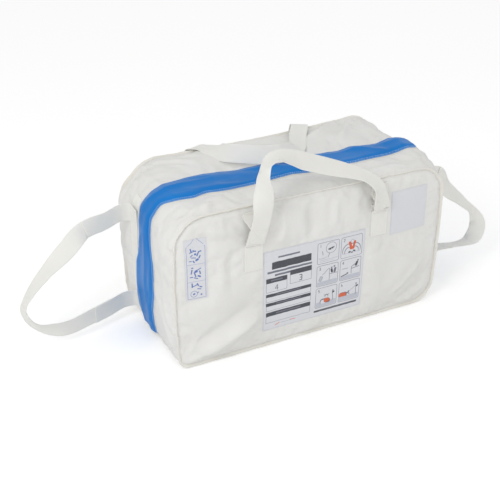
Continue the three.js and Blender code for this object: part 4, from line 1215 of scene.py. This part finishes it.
for node_name, film in (("side_label", side_film), ("corner_patch", plain_film)):
    label = sewn_patch(node_name, "front", FILM_THICKNESS, 4 * MM, FILM_LIFT)
    finish_piece(label, "printed_label", film, node_name)

# %% Edge stitching on the labels
label_rows = []
for name in LABELS:
    corners = patch_corners(name, "front", 3 * MM)
    label_rows += on_body(box_cross(corners)[:4], "front", 1.0 * MM)
thread(
    "label_thread", label_rows, white_thread, "printed_label",
    pitch=3.2 * MM, length=2.2 * MM, width=0.5 * MM, height=0.35 * MM,
)

# %% [markdown]
# ## Floor, light and camera
#
# The photograph is a catalogue picture: white ground and light from all round, a little stronger from above
# and the left. A pale floor and a white world do most of that. A small key lamp from the left gives the
# cloth its shape, and a large weak one in front opens the shadows. The ground is whiter to the camera than
# to the bag, so it looks like paper and doesn't bleach the cloth. The camera stands where the photograph's
# perspective puts it.

# %% Floor
FLOOR_SIZE, FLOOR_DROP = 60, 0.0005
bpy.ops.object.select_all(action="DESELECT")
bpy.ops.mesh.primitive_plane_add(size=FLOOR_SIZE, location=(0, 0, -FLOOR_DROP))
floor = bpy.context.object
floor.name = "pale_floor"
floor_paint, tree, shader = new_material("pale_floor")
shader.inputs["Roughness"].default_value = 1.0
shader.inputs["Specular IOR Level"].default_value = 0.0
ray = node(tree, "ShaderNodeLightPath")
seen, mirrored = ray.outputs["Is Camera Ray"], ray.outputs["Is Glossy Ray"]
seen_or_mirrored = node(tree, "ShaderNodeMath", {0: seen, 1: mirrored}, operation="MAXIMUM")
paint = blend_colour(tree, seen_or_mirrored.outputs[0], (0.92, 0.92, 0.92, 1), (0.97, 0.97, 0.97, 1))
tree.links.new(paint, shader.inputs["Base Color"])
lift = node(tree, "ShaderNodeMath", {0: seen, 1: 0.2}, operation="MULTIPLY")
tree.links.new(lift.outputs[0], shader.inputs["Emission Strength"])
shader.inputs["Emission Color"].default_value = (1, 1, 1, 1)
floor.data.materials.append(floor_paint)

# %% World and lamps
world = bpy.data.worlds.new("studio")
bpy.context.scene.world = world
world.use_nodes = True
tree = world.node_tree
background = tree.nodes["Background"]
background.inputs["Color"].default_value = (1, 1, 1, 1)
background.inputs["Strength"].default_value = 0.77
paper_white = node(tree, "ShaderNodeBackground", {"Color": (1, 1, 1, 1), "Strength": 1.0})
ray = node(tree, "ShaderNodeLightPath")
seen, through_glass = ray.outputs["Is Camera Ray"], ray.outputs["Is Transmission Ray"]
either = node(tree, "ShaderNodeMath", {0: seen, 1: through_glass}, operation="MAXIMUM")
shaders = {0: either.outputs[0], 1: background.outputs[0], 2: paper_white.outputs[0]}
chosen = node(tree, "ShaderNodeMixShader", shaders)
tree.links.new(chosen.outputs[0], tree.nodes["World Output"].inputs["Surface"])


def soft_lamp(name, location, aim, size, watts):
    bpy.ops.object.light_add(type="AREA", location=location)
    lamp = bpy.context.object
    lamp.name = name
    lamp.data.size = size
    lamp.data.energy = watts
    lamp.rotation_euler = (Vector(aim) - Vector(location)).to_track_quat("-Z", "Y").to_euler()


MIDDLE_OF_BAG = (0, 0, 0.2)
soft_lamp("key_lamp", (-1.9, -1.2, 1.9), MIDDLE_OF_BAG, size=0.9, watts=16)
soft_lamp("fill_lamp", (1.4, -2.4, 1.2), MIDDLE_OF_BAG, size=2.0, watts=5)

# %% Camera
CAMERA_AZIMUTH, CAMERA_ELEVATION, CAMERA_DISTANCE = -26.57, 28.52, 2.2647
AIM = Vector((-0.091, 0, 0.1761))
azimuth, elevation = math.radians(CAMERA_AZIMUTH), math.radians(CAMERA_ELEVATION)
level = math.cos(elevation)
back = Vector((math.sin(azimuth) * level, -math.cos(azimuth) * level, math.sin(elevation)))
bpy.ops.object.camera_add(location=AIM + back * CAMERA_DISTANCE)
camera = bpy.context.object
camera.rotation_euler = (-back).to_track_quat("-Z", "Y").to_euler()
camera.data.lens = 61.54
camera.data.sensor_width = 36
bpy.context.scene.camera = camera
bpy.context.scene.view_settings.view_transform = "Standard"
